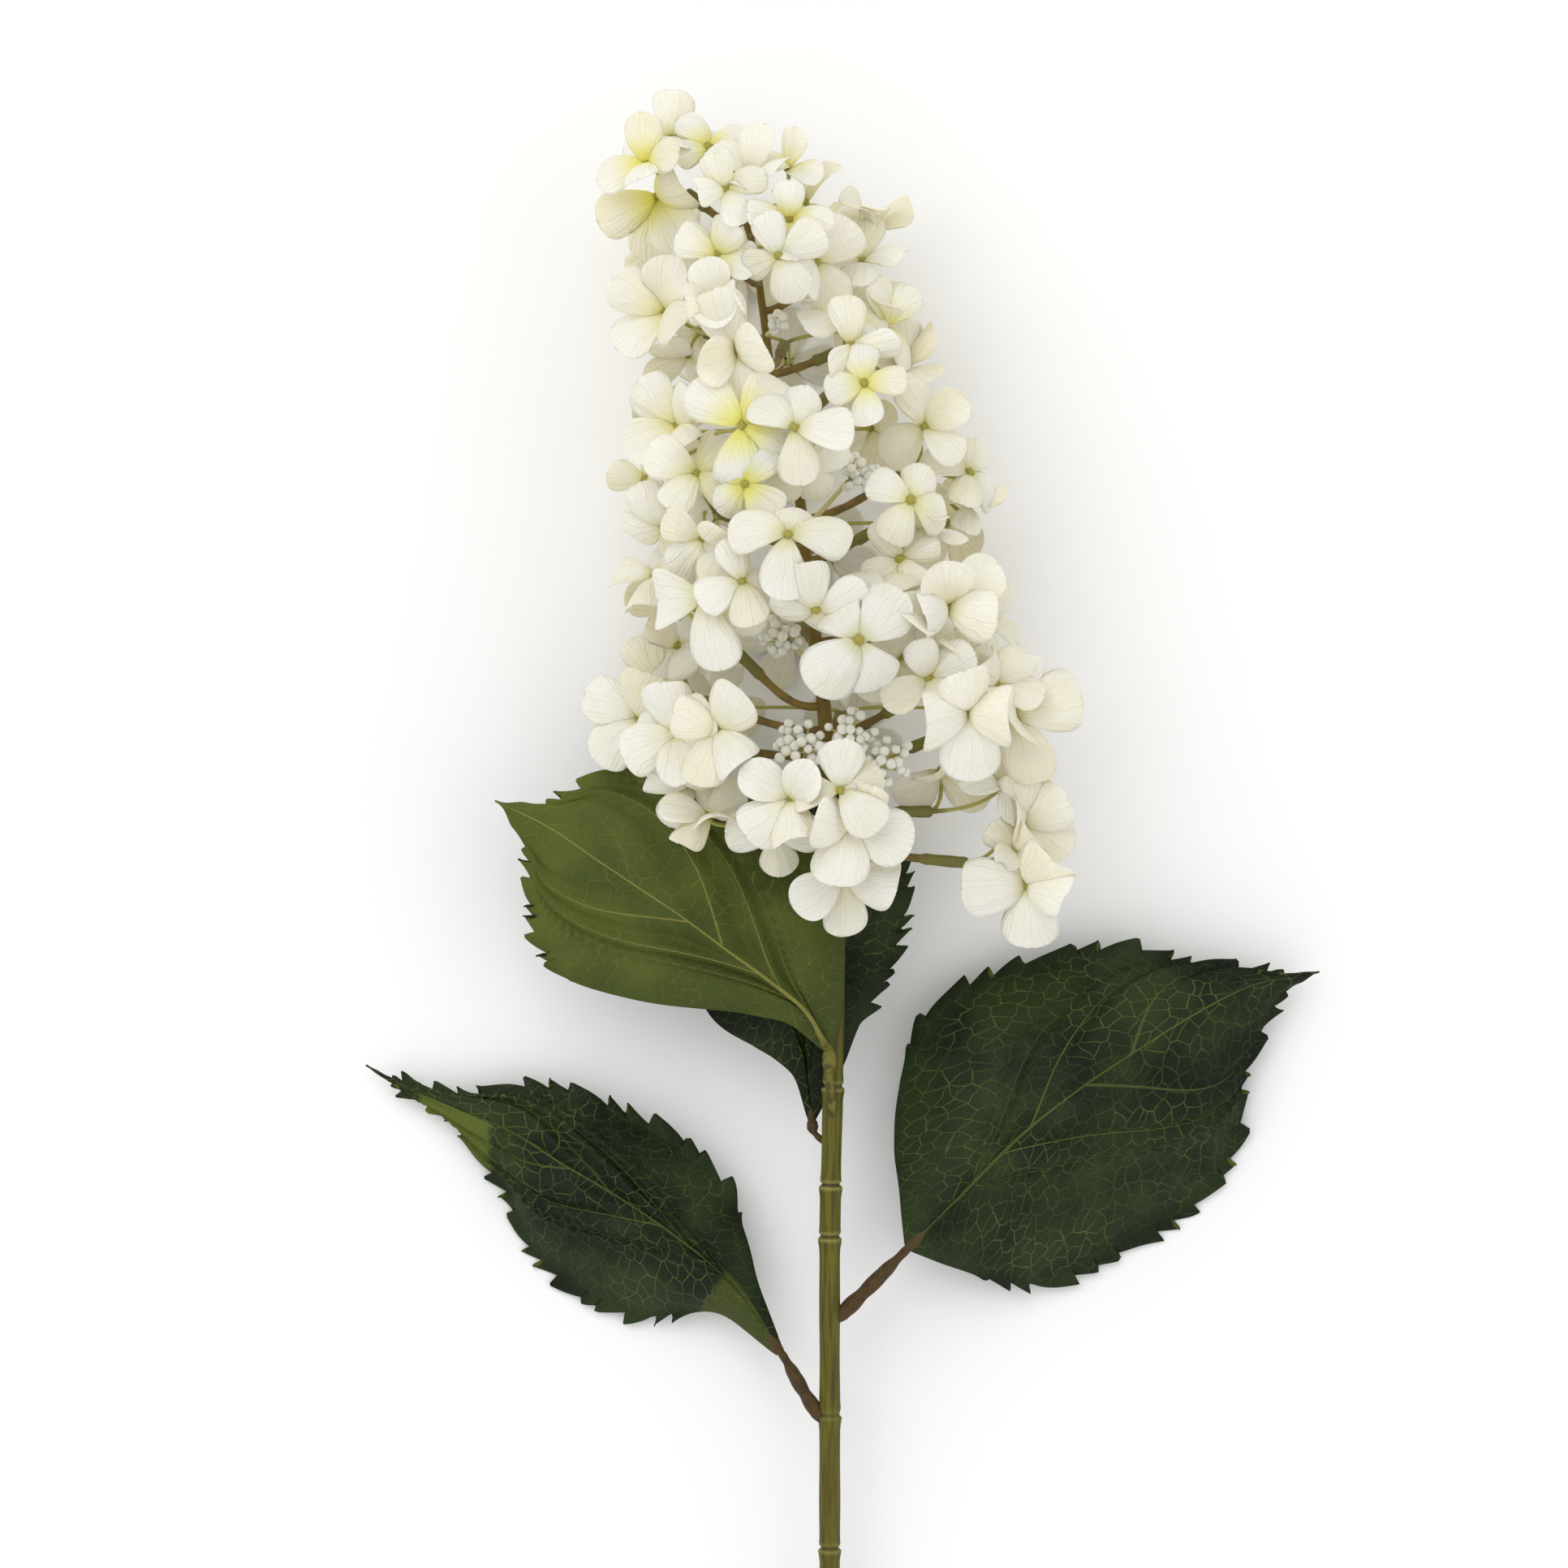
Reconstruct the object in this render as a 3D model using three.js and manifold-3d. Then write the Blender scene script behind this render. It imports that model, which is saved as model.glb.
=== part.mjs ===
// A cut spray of panicle hydrangea, lying on a flat surface: a jointed stem that runs on as the
// axis of the flower head, four toothed leaves, side branches with four-petalled florets, and
// small tufts of unopened buds near the axis.
// Millimetres. +Y runs along the stem towards the tip of the head, +Z is up from the surface,
// and the origin is under the middle of the spray, on the surface.

import * as THREE from 'three';
import { mergeVertices } from 'three/addons/utils/BufferGeometryUtils.js';
import Module from 'manifold-3d';

const wasm = await Module();
wasm.setup();

// Driving dimensions
const CLEARANCE = 0.35; // gap that neighbouring solids keep
const PETAL_THICK = 0.7;
const LEAF_THICK = 0.8;
const PEDICEL_RADIUS = 0.75;
const BRANCH_RADIUS = 1.35;
const SLEEVE_RADIUS = 1.95;
const SLEEVE_END_RADIUS = 1.66;
const BEAD_RADIUS = 1.6;
const BEAD_STALK_RADIUS = 0.5;
const BUD_HUB_RADIUS = 2.4;
const STEM_SIDES = 8;
const BRANCH_SIDES = 4;
const BRANCH_FOOT_RADIUS = 0.9; // of a bud branchlet where it leaves the axis
const GUARD_SIDES = 5; // of the room kept round a pedicel
const GUARD_MARGIN = 0.1; // how far a branch's own limbs are spared when neighbours are cut away
const LEAF_TEETH = 12; // on each side of a leaf
const TOOTH_REACH = 2.2;
const TOOTH_PEAK = 0.72; // where in its pitch a tooth is tallest
const TOOTH_LEAN = 0.5; // how far a tooth leans to the tip, as a share of its reach
const LAST_TOOTH = 0.93; // share of the leaf past which its margin is plain
const PETIOLE_OVERLAP = 0.06; // share of the blade that its petiole runs into
const FLOOR_REST = PETAL_THICK / 2; // height of a petal's middle where it lies on the surface

const COLOURS = {
  stem: 0x78762d,
  leafTop: 0x233720,
  leafUnder: 0x556e2d,
  petal: 0xebe6d7,
  bud: 0xe6e4d7,
};

// The stem's middle line from the cut end to the tip of the head, with its radius
const STEM_LINE = [
  [-4, -315.4, 3.6, 3.6], [-4, -245, 11.5, 3.6], [-4, -177, 19.5, 3.5], [-4, -128, 25.5, 3.5],
  [-4, -67, 32.5, 3.45], [-3, -17, 38.5, 3.4], [-2.5, 20, 43, 3.3], [-2, 48, 46, 3.1],
  [-5, 86, 49, 2.7], [-6, 109, 50, 2.4], [-11, 149, 50, 2.0], [-14, 178, 49, 1.75],
  [-19, 199, 48, 1.6], [-23, 216, 47, 1.45], [-26, 239, 46, 1.3], [-30, 264, 46, 1.2],
  [-37, 283, 47, 1.1], [-45, 295, 48, 0.9],
];
const STEM_STATIONS = 26;
const STEM_JOINTS = [-268, -216, -172, -127, -67.5, -50, -17]; // y of each ring joint
const JOINT_LIP = 0.55;
const JOINT_HALF = 1.1;

// Leaves: middle vein, left margin and right margin, at the same stations from base to tip
const LEAVES = [
  {
    name: 'leaf_upper_front',
    colour: COLOURS.leafUnder,
    toothFrom: [0.5, 0.6],
    petiole: [[-3.4, -22, 43.6], [-4, -12, 45.8], [-4.4, -3, 47.6]],
    petioleRadius: [1.5, 1.5],
    middle: [[-4.5, -4, 48], [-12, 9, 52], [-24, 19, 54], [-38, 29, 54], [-53, 40, 52],
      [-68, 50, 49], [-83, 60, 45], [-98, 70, 41], [-115.5, 78.5, 38]],
    left: [[-6, -4.4, 47.5], [-21, 6, 50], [-44, 9, 49], [-69, 13, 46], [-89, 18, 43],
      [-99, 29, 41], [-103, 43, 40], [-105, 59, 39], [-116, 78, 38]],
    right: [[-3, -3.6, 48.4], [0, 12, 52], [1, 31, 53], [-1, 47, 51], [-20, 74, 48],
      [-48, 90, 45], [-74, 89, 42], [-95, 79, 40], [-115, 79.6, 38]],
    crown: 0.06,
  },
  {
    name: 'leaf_upper_back',
    colour: COLOURS.leafTop,
    toothFrom: [0.5, 0.22],
    petiole: [[-7.6, -33.5, 34.5], [-9.2, -32, 33.6], [-10, -27, 33]],
    petioleRadius: [1.1, 1.3],
    middle: [[-10, -28, 33], [-12, -10, 33], [-14, 8, 33], [-14, 25, 32], [-13, 42, 31],
      [-12, 58, 30], [-10, 72, 29], [-8, 84, 28], [-6, 95, 27]],
    left: [[-11.2, -28, 32.6], [-17, -12, 30], [-29, -4, 28], [-43, 6, 27], [-51, 22, 26],
      [-51, 42, 26], [-42, 60, 26], [-25, 78, 26], [-7, 94.6, 27]],
    right: [[-8.8, -28, 33], [-1, -13, 33], [7, 6, 32], [15, 22, 31], [20, 38, 30],
      [21, 54, 29], [15, 70, 28], [5, 84, 28], [-5, 95.4, 27]],
    crown: 0.05,
  },
  {
    name: 'leaf_lower_left',
    colour: COLOURS.leafTop,
    toothFrom: [0.14, 0.2],
    petiole: [[-8.9, -125, 26], [-13, -118.5, 25.5], [-19, -108, 24.8]],
    petioleRadius: [1.9, 1.4],
    middle: [[-20.5, -106, 24], [-36, -84, 23], [-56, -67, 24], [-75, -54, 23], [-94, -43, 19],
      [-112, -32, 14], [-133, -23.5, 9], [-149, -17, 6], [-160, -10.5, 5]],
    left: [[-21.6, -107, 23.5], [-43, -93, 11], [-66, -95, 4], [-86, -88, 1.4], [-103, -74, 1],
      [-113, -53, 1.6], [-130, -29, 4], [-148, -18.5, 5], [-160.6, -11.3, 5]],
    right: [[-19.6, -105, 24.5], [-29, -80, 19], [-36, -56, 15], [-53, -37, 13], [-76, -25, 12],
      [-99, -18, 10], [-127, -20.5, 8], [-148.5, -15.3, 6.5], [-159.6, -9.7, 5]],
    crown: 0.1,
  },
  {
    name: 'leaf_lower_right',
    colour: COLOURS.leafTop,
    toothFrom: [0.3, 0.12],
    petiole: [[0.8, -92, 29.8], [8, -85, 30], [20, -73, 29]],
    petioleRadius: [1.9, 1.3],
    middle: [[22, -71, 28.5], [41, -52, 31], [59, -34, 32], [79, -18, 31], [100, -4, 28],
      [118, 7, 23], [136, 16, 17], [150, 19.5, 13], [160.5, 21, 11]],
    left: [[21, -70, 28.5], [19, -48, 20], [18, -24, 15], [29, 6, 13], [57, 22, 13],
      [89, 28.5, 14], [116, 24, 14], [143, 20.5, 12.5], [160.3, 21.8, 11]],
    right: [[23, -72, 28.5], [44, -80, 15], [68, -84, 5], [93, -73, 1.4], [116, -60, 1],
      [131, -41, 2], [135, -14, 6], [145, 8, 9], [160.7, 20.2, 11]],
    crown: 0.08,
  },
];

// Front branches: where each leaves the axis (y), where it forks, and its florets.
// A floret holds its middle, the sideways and lengthways tilt of its face, the direction of one
// petal or of all four in degrees, how far each is folded to the side that the floret faces, and
// its span.
const FRONT_BRANCHES = [
  { root: 271, fork: [-52, 280, 52], florets: [
    { at: [-64, 288, 70], tilt: [-0.35, 0.25], turn: [0, 88, 191, 275], folds: [35, 25, 10, 50], span: 36 },
    { at: [-57, 297, 58], tilt: [0.1, 0.45], turn: 84, span: 36 },
    { at: [-61, 279, 52], tilt: [-0.2, -0.2], turn: [-50, 30, 205, 272], folds: [20, 50, 25, 0],
      span: 42 }] },
  { root: 289, fork: [-39, 289, 60], florets: [
    { at: [-44.5, 294, 65], tilt: [0.3, 0.5], turn: 30, span: 28 },
    { at: [-39, 279, 86], tilt: [-0.1, 0.3], turn: 20, span: 28 },
    { at: [-30, 284, 73], tilt: [0, 0.75], turn: 64, span: 34 }] },
  { root: 266, fork: [-22, 275, 56], florets: [
    { at: [-18, 287, 62], tilt: [-0.2, 0.8], turn: 46, span: 28 },
    { at: [-12, 276, 56], tilt: [-0.45, 0.75], turn: 24, span: 31 },
    { at: [-18, 269, 86], tilt: [0.2, 0.3], turn: 5, span: 29 }] },
  { root: 250, fork: [-35, 254, 66], florets: [
    { at: [-41, 258, 80], tilt: [-0.1, 0.2], turn: 62, span: 29 },
    { at: [-21, 257, 92], tilt: [0, -0.2], turn: 25, span: 31 },
    { at: [-41, 240, 82], tilt: [-0.1, 0.2], turn: 10, span: 33 }] },
  { root: 241, fork: [-8, 252, 48], florets: [
    { at: [9, 267, 42], tilt: [0.1, 0.92], turn: 24, span: 34 },
    { at: [7, 257, 50], tilt: [-0.1, 0.9], turn: 80, span: 33 },
    { at: [-9, 256, 70], tilt: [0.5, 0], turn: 40, span: 36 }] },
  { root: 228, fork: [-46, 234, 48], florets: [
    { at: [-58, 240, 62], tilt: [-0.35, 0.1], turn: [-30, 62, 142, 220], folds: [52, 36, 35, 10], span: 41 },
    { at: [-51, 227, 50], tilt: [-0.3, -0.7], turn: 20, span: 34 },
    { at: [-35, 226, 88], tilt: [-0.1, -0.2], turn: [-80, 20, 110, 190], folds: [15, 48, 15, 50],
      span: 42 }] },
  { root: 220, fork: [-2, 227, 50], florets: [
    { at: [0, 238, 64], tilt: [0.1, 0.8], turn: 40, span: 36 },
    { at: [14, 235.5, 56.5], tilt: [0.24, 0.8], turn: 55, span: 31 },
    { at: [20, 222, 44], tilt: [0.25, 0.8], turn: 20, span: 34 }] },
  { root: 201, fork: [-4, 213, 66], florets: [
    { at: [3, 228, 80], tilt: [0, -0.6], turn: 10, span: 33 },
    { at: [7, 215, 88], tilt: [0, 0.3], turn: 10, span: 29 }] },
  { root: 189, fork: [-42, 196, 54], florets: [
    { at: [-54, 202, 66], tilt: [-0.45, 0.1], turn: [-50, 40, 128, 215], folds: [44, 38, 18, 26], span: 38 },
    { at: [-33, 201, 100], tilt: [-0.05, 0.1], turn: [-94, -24, 55, 139], folds: [24, 20, 24, 8], span: 42 },
    { at: [-65, 185, 46], tilt: [-0.5, 0.1], turn: 70, folds: [12, 28, 6, 18], span: 28 }] },
  { root: 181, fork: [-14, 190, 80], florets: [
    { at: [-16, 200, 107], tilt: [0, 0.35], turn: [-80, -8, 75, 140], folds: [40, 15, 25, 10], span: 36 },
    { at: [-12, 186, 93], tilt: [0.1, -0.2], turn: 35, span: 31 }] },
  { root: 172, fork: [22, 188, 46], florets: [
    { at: [27, 202, 66], tilt: [0.3, 0.25], turn: 35, span: 34 },
    { at: [42, 187, 56], tilt: [0.3, 0.6], turn: 83, span: 31 },
    { at: [42, 176, 44], tilt: [0.3, 0.85], turn: 86, span: 31 }] },
  { root: 158, fork: [13, 169, 66], florets: [
    { at: [22, 177, 92], tilt: [0.15, 0.1], turn: 68, span: 31 },
    { at: [26, 166, 74], tilt: [0.2, 0.8], turn: 85, span: 31 },
    { at: [19, 158, 84], tilt: [-0.4, -0.1], turn: 30, span: 29 }] },
  { root: 163, fork: [-41, 174, 60], florets: [
    { at: [-48, 186, 78], tilt: [-0.3, -0.1], turn: 60, span: 33 },
    { at: [-59, 169, 60], tilt: [-0.3, -0.5], turn: 28, span: 33 },
    { at: [-46, 165, 84], tilt: [-0.2, -0.5], turn: 50, span: 31 },
    { at: [-32, 182, 98], tilt: [-0.15, 0], turn: 45, span: 31 }] },
  { root: 110, fork: [-37, 129, 60], florets: [
    { at: [-62, 153, 50], tilt: [-0.5, 0.6], turn: 74, span: 33 },
    { at: [-45, 145, 92], tilt: [-0.2, -0.05], turn: [-80, -20, 70, 180], folds: [0, 50, 55, 52], span: 46 },
    { at: [-33, 150, 99], tilt: [0.1, 0.3], turn: 20, span: 29 }] },
  { root: 140, fork: [-12, 147, 82], florets: [
    { at: [-18, 165, 112], tilt: [0, 0.45], turn: [-100, 7, 70, 160], folds: [55, 20, 45, 25], span: 42 },
    { at: [-9, 141, 104], tilt: [0, -0.55], turn: 15, span: 33 }] },
  { root: 113, fork: [4, 124, 84], florets: [
    { at: [14, 145, 98], tilt: [0, 0.65], turn: [-20, 64, 121, 200], folds: [30, 20, 20, 45], span: 38 },
    { at: [5, 131, 108], tilt: [0, -0.1], turn: [-72, 41, 130, 228], folds: [38, 55, 57, 5], span: 42 }] },
  { root: 131, fork: [20, 135, 60], florets: [
    { at: [34, 142, 82], tilt: [0.25, 0], turn: [-17, 45, 113, 191], folds: [45, 20, 38, 48], span: 42 },
    { at: [47, 138, 52], tilt: [0.6, 0.4], turn: 84, span: 29 },
    { at: [38, 128, 72], tilt: [0.2, 0.4], turn: 55, span: 33 }] },
  { root: 101, fork: [23, 112, 62], florets: [
    { at: [28, 119, 86], tilt: [0.2, 0], turn: 30, span: 33 },
    { at: [41, 108, 88], tilt: [0.1, 0], turn: [-88, -10, 110, 192], folds: [0, 55, 58, 42], span: 43 },
    { at: [19, 126, 66], tilt: [0, 0.1], turn: 45, span: 36 }] },
  { root: 89, fork: [36, 101, 48], florets: [
    { at: [50, 117, 72], tilt: [0.5, 0.3], turn: 67, span: 31 },
    { at: [56, 107, 60], tilt: [0.35, 0], turn: [-73, 18, 82, 200], folds: [20, 30, 28, 55], span: 44 }] },
  { root: 74, fork: [30, 75, 48], florets: [
    { at: [53, 84, 56], tilt: [0.3, 0.6], turn: 20, span: 31 },
    { at: [33, 89, 46], tilt: [0.1, -0.5], turn: 40, span: 36 }] },
  { root: 60, fork: [42, 58, 52], florets: [
    { at: [59, 71, 52], tilt: [0.4, 0.2], turn: [-25, 33, 100, 190], folds: [10, 50, 45, 55], span: 38 },
    { at: [57, 62, 60], tilt: [0, 0.1], turn: [-42, 48, 135, 225], folds: [30, 45, 20, 50], span: 26 },
    { at: [61, 51, 66], tilt: [0, 0], turn: [-12, 50, 185, 272], folds: [60, 58, 28, 0], span: 43 }] },
  { root: 102, fork: [-47, 112, 42], florets: [
    { at: [-67, 106, 46], tilt: [-0.4, 0.05], turn: [-30, 60, 153, 222], folds: [50, 45, 20, 15], span: 40 },
    { at: [-61, 118, 40], tilt: [-0.3, 0.4], turn: 20, span: 31 },
    { at: [-55, 130, 36], tilt: [-0.2, 0.4], turn: 60, span: 29 }] },
  { root: 93, fork: [-40, 96, 58], florets: [
    { at: [-54, 101, 68], tilt: [-0.15, 0], turn: [-87, 20, 105, 203], folds: [30, 50, 35, 20], span: 40 },
    { at: [-41, 102, 82], tilt: [0, 0], turn: [-105, -57, 53, 160], folds: [10, 40, 42, 30], span: 40 },
    { at: [-50, 84, 58], tilt: [-0.3, -0.4], turn: 58, span: 33 }] },
  { root: 68, fork: [-18, 71, 66], florets: [
    { at: [-17, 79, 90], tilt: [-0.1, 0], turn: [-80, 50, 142, 221], folds: [44, 42, 14, 14], span: 36 },
    { at: [-22, 68, 76], tilt: [0, -0.2], turn: 2, span: 31 },
    { at: [-44, 73, 66], tilt: [0, 0.5], turn: [-70, 36, 175, 230], folds: [55, 30, 10, 10], span: 32 }] },
  { root: 61, fork: [1, 67, 68], florets: [
    { at: [-1, 82, 102], tilt: [0, 0], turn: [-48, 20, 88, 180], folds: [5, 40, 25, 55], span: 34 },
    { at: [2, 72, 86], tilt: [0.1, -0.1], turn: [-102, -20, 70, 177], folds: [25, 15, 45, 50], span: 44 },
    { at: [0, 54, 74], tilt: [0, -0.2], turn: [-84, -10, 80, 206], folds: [10, 25, 30, 15], span: 38 }] },
];

// Back branches are placed by rule down the underside of the head, in rows of three florets. Each
// row is shifted to one side, the next row to the other, and its middle floret lies lower
const BACK = {
  rows: 6,
  firstY: 262,
  stepY: 31,
  span: 34,
  rootStep: -8, // from the row to where its branch leaves the axis
  forkZ: 27,
  forkShift: 5,
  shares: [-0.66, 0, 0.66], // sideways, as shares of the head's half width
  shift: 0.14,
  sideStep: 4, // lengthways, of the outer florets
  middleStep: -6,
  scatter: 4,
  sideZ: 13,
  raisedZ: 4, // height of the middle floret in the rows that don't touch the surface
  sideTilt: 0.55,
  tipTilt: 0.1,
};
const HEAD_HALF_WIDTH = [
  [53, 45], [75, 62], [102, 70], [129, 62], [183, 58], [210, 48], [264, 40], [300, 30],
];

// Tufts of buds: where each leaves the axis, the middle of its beads, its radius and bead count
const BUD_TUFTS = [
  { root: 125, at: [-21, 133, 61], radius: 7.5, beads: 7 },
  { root: 92, at: [-14, 97, 68], radius: 9, beads: 7 },
  { root: 90.5, at: [3, 101, 70], radius: 8, beads: 6 },
  { root: 82, at: [14, 92, 66], radius: 9, beads: 7 },
  { root: 170, at: [5, 187, 68], radius: 7, beads: 5 },
  { root: 233, at: [-21, 237, 60], radius: 3.5, beads: 4 },
];

const RADIANS = Math.PI / 180;
const GOLDEN_ANGLE = 137.508 * RADIANS;

// A repeatable draw between 0 and 1 from two whole numbers
function draw(index, channel) {
  const wave = Math.sin(index * 127.1 + channel * 311.7 + 74.7) * 43758.5453;
  return wave - Math.floor(wave);
}

function vector(list) {
  return new THREE.Vector3(list[0], list[1], list[2]);
}

function smoothLine(points) {
  return new THREE.CatmullRomCurve3(points.map(vector), false, 'catmullrom', 0.5);
}

// Value of a list of [position, value] pairs at a position, by straight lines between them
function lookUp(pairs, position) {
  for (let i = 1; i < pairs.length; i += 1) {
    const [from, first] = pairs[i - 1];
    const [to, second] = pairs[i];
    if (position <= to) {
      return THREE.MathUtils.mapLinear(Math.max(position, from), from, to, first, second);
    }
  }
  return pairs[pairs.length - 1][1];
}

function geometryFrom(positions, index) {
  const geometry = new THREE.BufferGeometry();
  const flat = positions.flatMap((point) => point.toArray());
  geometry.setAttribute('position', new THREE.Float32BufferAttribute(flat, 3));
  geometry.setIndex(index);
  return geometry;
}

function toSolid(geometry) {
  const merged = mergeVertices(geometry, 1e-5);
  return new wasm.Manifold(new wasm.Mesh({
    numProp: 3,
    vertProperties: Float32Array.from(merged.getAttribute('position').array),
    triVerts: Uint32Array.from(merged.getIndex().array),
  }));
}

function toGeometry(solid) {
  const mesh = solid.getMesh();
  const geometry = new THREE.BufferGeometry();
  geometry.setAttribute('position', new THREE.BufferAttribute(mesh.vertProperties, 3));
  geometry.setIndex(new THREE.BufferAttribute(mesh.triVerts, 1));
  return geometry;
}

// A round-sectioned tube through rings of the given radii, closed at both ends
function sweptTube(points, radii, sides) {
  const positions = [];
  const index = [];
  let across = new THREE.Vector3(0, 0, 1);
  points.forEach((point, i) => {
    const before = points[Math.max(i - 1, 0)];
    const after = points[Math.min(i + 1, points.length - 1)];
    const along = after.clone().sub(before).normalize();
    if (Math.abs(across.dot(along)) > 0.95) across = new THREE.Vector3(1, 0, 0);
    across = across.clone().addScaledVector(along, -across.dot(along)).normalize();
    const other = along.clone().cross(across);
    for (let k = 0; k < sides; k += 1) {
      const angle = (2 * Math.PI * k) / sides;
      positions.push(point.clone()
        .addScaledVector(across, radii[i] * Math.cos(angle))
        .addScaledVector(other, radii[i] * Math.sin(angle)));
    }
  });
  for (let i = 0; i + 1 < points.length; i += 1) {
    for (let k = 0; k < sides; k += 1) {
      const a = i * sides + k;
      const b = i * sides + ((k + 1) % sides);
      index.push(a, b, b + sides, a, b + sides, a + sides);
    }
  }
  const last = (points.length - 1) * sides;
  for (let k = 1; k + 1 < sides; k += 1) {
    index.push(0, k + 1, k);
    index.push(last, last + k, last + k + 1);
  }
  return geometryFrom(positions, index);
}

function bezierPoints(ends, steps) {
  const curve = new THREE.CubicBezierCurve3(...ends);
  return curve.getPoints(steps);
}

const stemCurve = smoothLine(STEM_LINE);

// Place on the stem's middle line at a height y, its radius there and its direction
function stemAt(y) {
  let low = 0;
  let high = 1;
  for (let i = 0; i < 40; i += 1) {
    const middle = (low + high) / 2;
    if (stemCurve.getPoint(middle).y < y) low = middle;
    else high = middle;
  }
  return {
    point: stemCurve.getPoint(low),
    radius: lookUp(STEM_LINE.map((row) => [row[1], row[3]]), y),
    along: stemCurve.getTangent(low),
  };
}

// The stem with a raised lip and a shallow groove at each joint
function stemGeometry(extra) {
  const rows = [];
  const firstY = STEM_LINE[0][1];
  const lastY = STEM_LINE[STEM_LINE.length - 1][1];
  for (let i = 0; i <= STEM_STATIONS; i += 1) {
    const y = THREE.MathUtils.lerp(firstY, lastY, i / STEM_STATIONS);
    const nearJoint = STEM_JOINTS.some((joint) => Math.abs(joint - y) < 4 * JOINT_HALF);
    if (!nearJoint) rows.push([y, 0]);
  }
  STEM_JOINTS.forEach((joint) => {
    rows.push([joint - 3 * JOINT_HALF, 0], [joint, JOINT_LIP], [joint + JOINT_HALF, 0]);
  });
  rows.sort((a, b) => a[0] - b[0]);
  const points = rows.map((row) => stemAt(row[0]).point);
  const radii = rows.map((row) => stemAt(row[0]).radius + row[1] + extra);
  return sweptTube(points, radii, STEM_SIDES);
}

// Rim of a floret: for each petal its outline, as shares of its length along and across it
const PETAL_RIM = [[0.66, -0.45], [1, 0], [0.66, 0.45]];
const NOTCH_REACH = 0.3;
const PETAL_TURN_SCATTER = 14; // degrees
const PETAL_LENGTH = [0.94, 0.12]; // shortest, and what a draw adds, as shares of half the span
const PETAL_WEDGE = 0.94; // share of the angle between two petals that they may fill
const FOLD = {
  small: [-10, 30], // least, and what a draw adds, in degrees
  large: [30, 28],
  smallShare: 0.6, // of the petals
  oddFrom: 0.92, // draws above this fold the other way
  underShare: 0.4, // of the fold, for florets of the underside
  highZ: 90,
  backMost: 35,
};

// The four petal directions of a floret, in radians
function petalAngles(floret, seed) {
  const turns = Array.isArray(floret.turn)
    ? floret.turn
    : [0, 1, 2, 3].map((k) => floret.turn + 90 * k + PETAL_TURN_SCATTER * (draw(seed, k) - 0.5));
  return turns.map((angle) => angle * RADIANS);
}

// How far the four petals are folded forward, in radians. Most are folded a little and some far;
// the florets highest up and those of the underside fold theirs back
function petalFolds(floret, seed) {
  return [0, 1, 2, 3].map((k) => {
    if (floret.pressed) return 0;
    const pick = draw(seed, 100 + k);
    const [least, more] = pick < FOLD.smallShare ? FOLD.small : FOLD.large;
    const drawn = (least + more * draw(seed, 104 + k)) * (floret.faceDown ? FOLD.underShare : 1);
    const size = floret.folds ? floret.folds[k] : drawn;
    const odd = pick > FOLD.oddFrom && !floret.folds;
    const foldsBack = odd || floret.faceDown || floret.at[2] > FOLD.highZ;
    return (foldsBack ? -Math.min(size, FOLD.backMost) : size) * RADIANS;
  });
}

function floretFrame(floret) {
  const [tiltX, tiltY] = floret.tilt;
  const tiltZ = Math.sqrt(Math.max(0, 1 - tiltX * tiltX - tiltY * tiltY));
  const face = new THREE.Vector3(tiltX, tiltY, floret.faceDown ? -tiltZ : tiltZ).normalize();
  const right = new THREE.Vector3(1, 0, 0).addScaledVector(face, -face.x).normalize();
  return { middle: vector(floret.at), face, right, up: face.clone().cross(right) };
}

// Height of a petal above the floret's middle, in petal lengths, at a distance from the middle
// and a distance to the side of the petal's own middle line: it rises, then droops at tip and edge
function petalHeight(along, side) {
  return 0.55 * along - 0.5 * along * along - 0.7 * side * side;
}

// The upper and lower face of a floret's plate, as points round its rim. Where two petals point
// nearly the same way, each keeps to its own half of the angle between them
function plateFaces(floret, seed, extra) {
  const { middle, face, right, up } = floretFrame(floret);
  const angles = petalAngles(floret, seed);
  const halfThick = PETAL_THICK / 2 + extra;
  const faces = { upper: [], lower: [], notches: [] };
  const place = (along, side, angle, length, fold) => {
    const radial = right.clone().multiplyScalar(Math.cos(angle)).addScaledVector(up, Math.sin(angle));
    const height = floret.pressed ? 0 : petalHeight(along, side);
    const out = along * Math.cos(fold) - height * Math.sin(fold);
    const rise = along * Math.sin(fold) + height * Math.cos(fold);
    const point = middle.clone()
      .addScaledVector(radial, out * (length + extra))
      .addScaledVector(face.clone().cross(radial), side * (length + extra))
      .addScaledVector(face, rise * length);
    point.z = Math.max(point.z, FLOOR_REST);
    faces.upper.push(point.clone().addScaledVector(face, halfThick));
    faces.lower.push(point.clone().addScaledVector(face, -halfThick));
  };
  place(0, 0, 0, 0, 0);
  const folds = petalFolds(floret, seed);
  angles.forEach((angle, k) => {
    const next = angles[(k + 1) % 4] + (k === 3 ? 2 * Math.PI : 0);
    const before = angles[(k + 3) % 4] - (k === 0 ? 2 * Math.PI : 0);
    const length = (floret.span / 2) * (PETAL_LENGTH[0] + PETAL_LENGTH[1] * draw(seed, 10 + k));
    PETAL_RIM.forEach(([along, side]) => {
      const wedge = (PETAL_WEDGE * (side < 0 ? angle - before : next - angle)) / 2;
      const widest = along * Math.cos(folds[k]) * Math.tan(Math.min(wedge, Math.PI / 3));
      place(along, Math.sign(side) * Math.min(Math.abs(side), widest), angle, length, folds[k]);
    });
    place(NOTCH_REACH, 0, (angle + next) / 2, floret.span / 2, 0);
    faces.notches.push((angle + next) / 2);
  });
  return faces;
}

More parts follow.
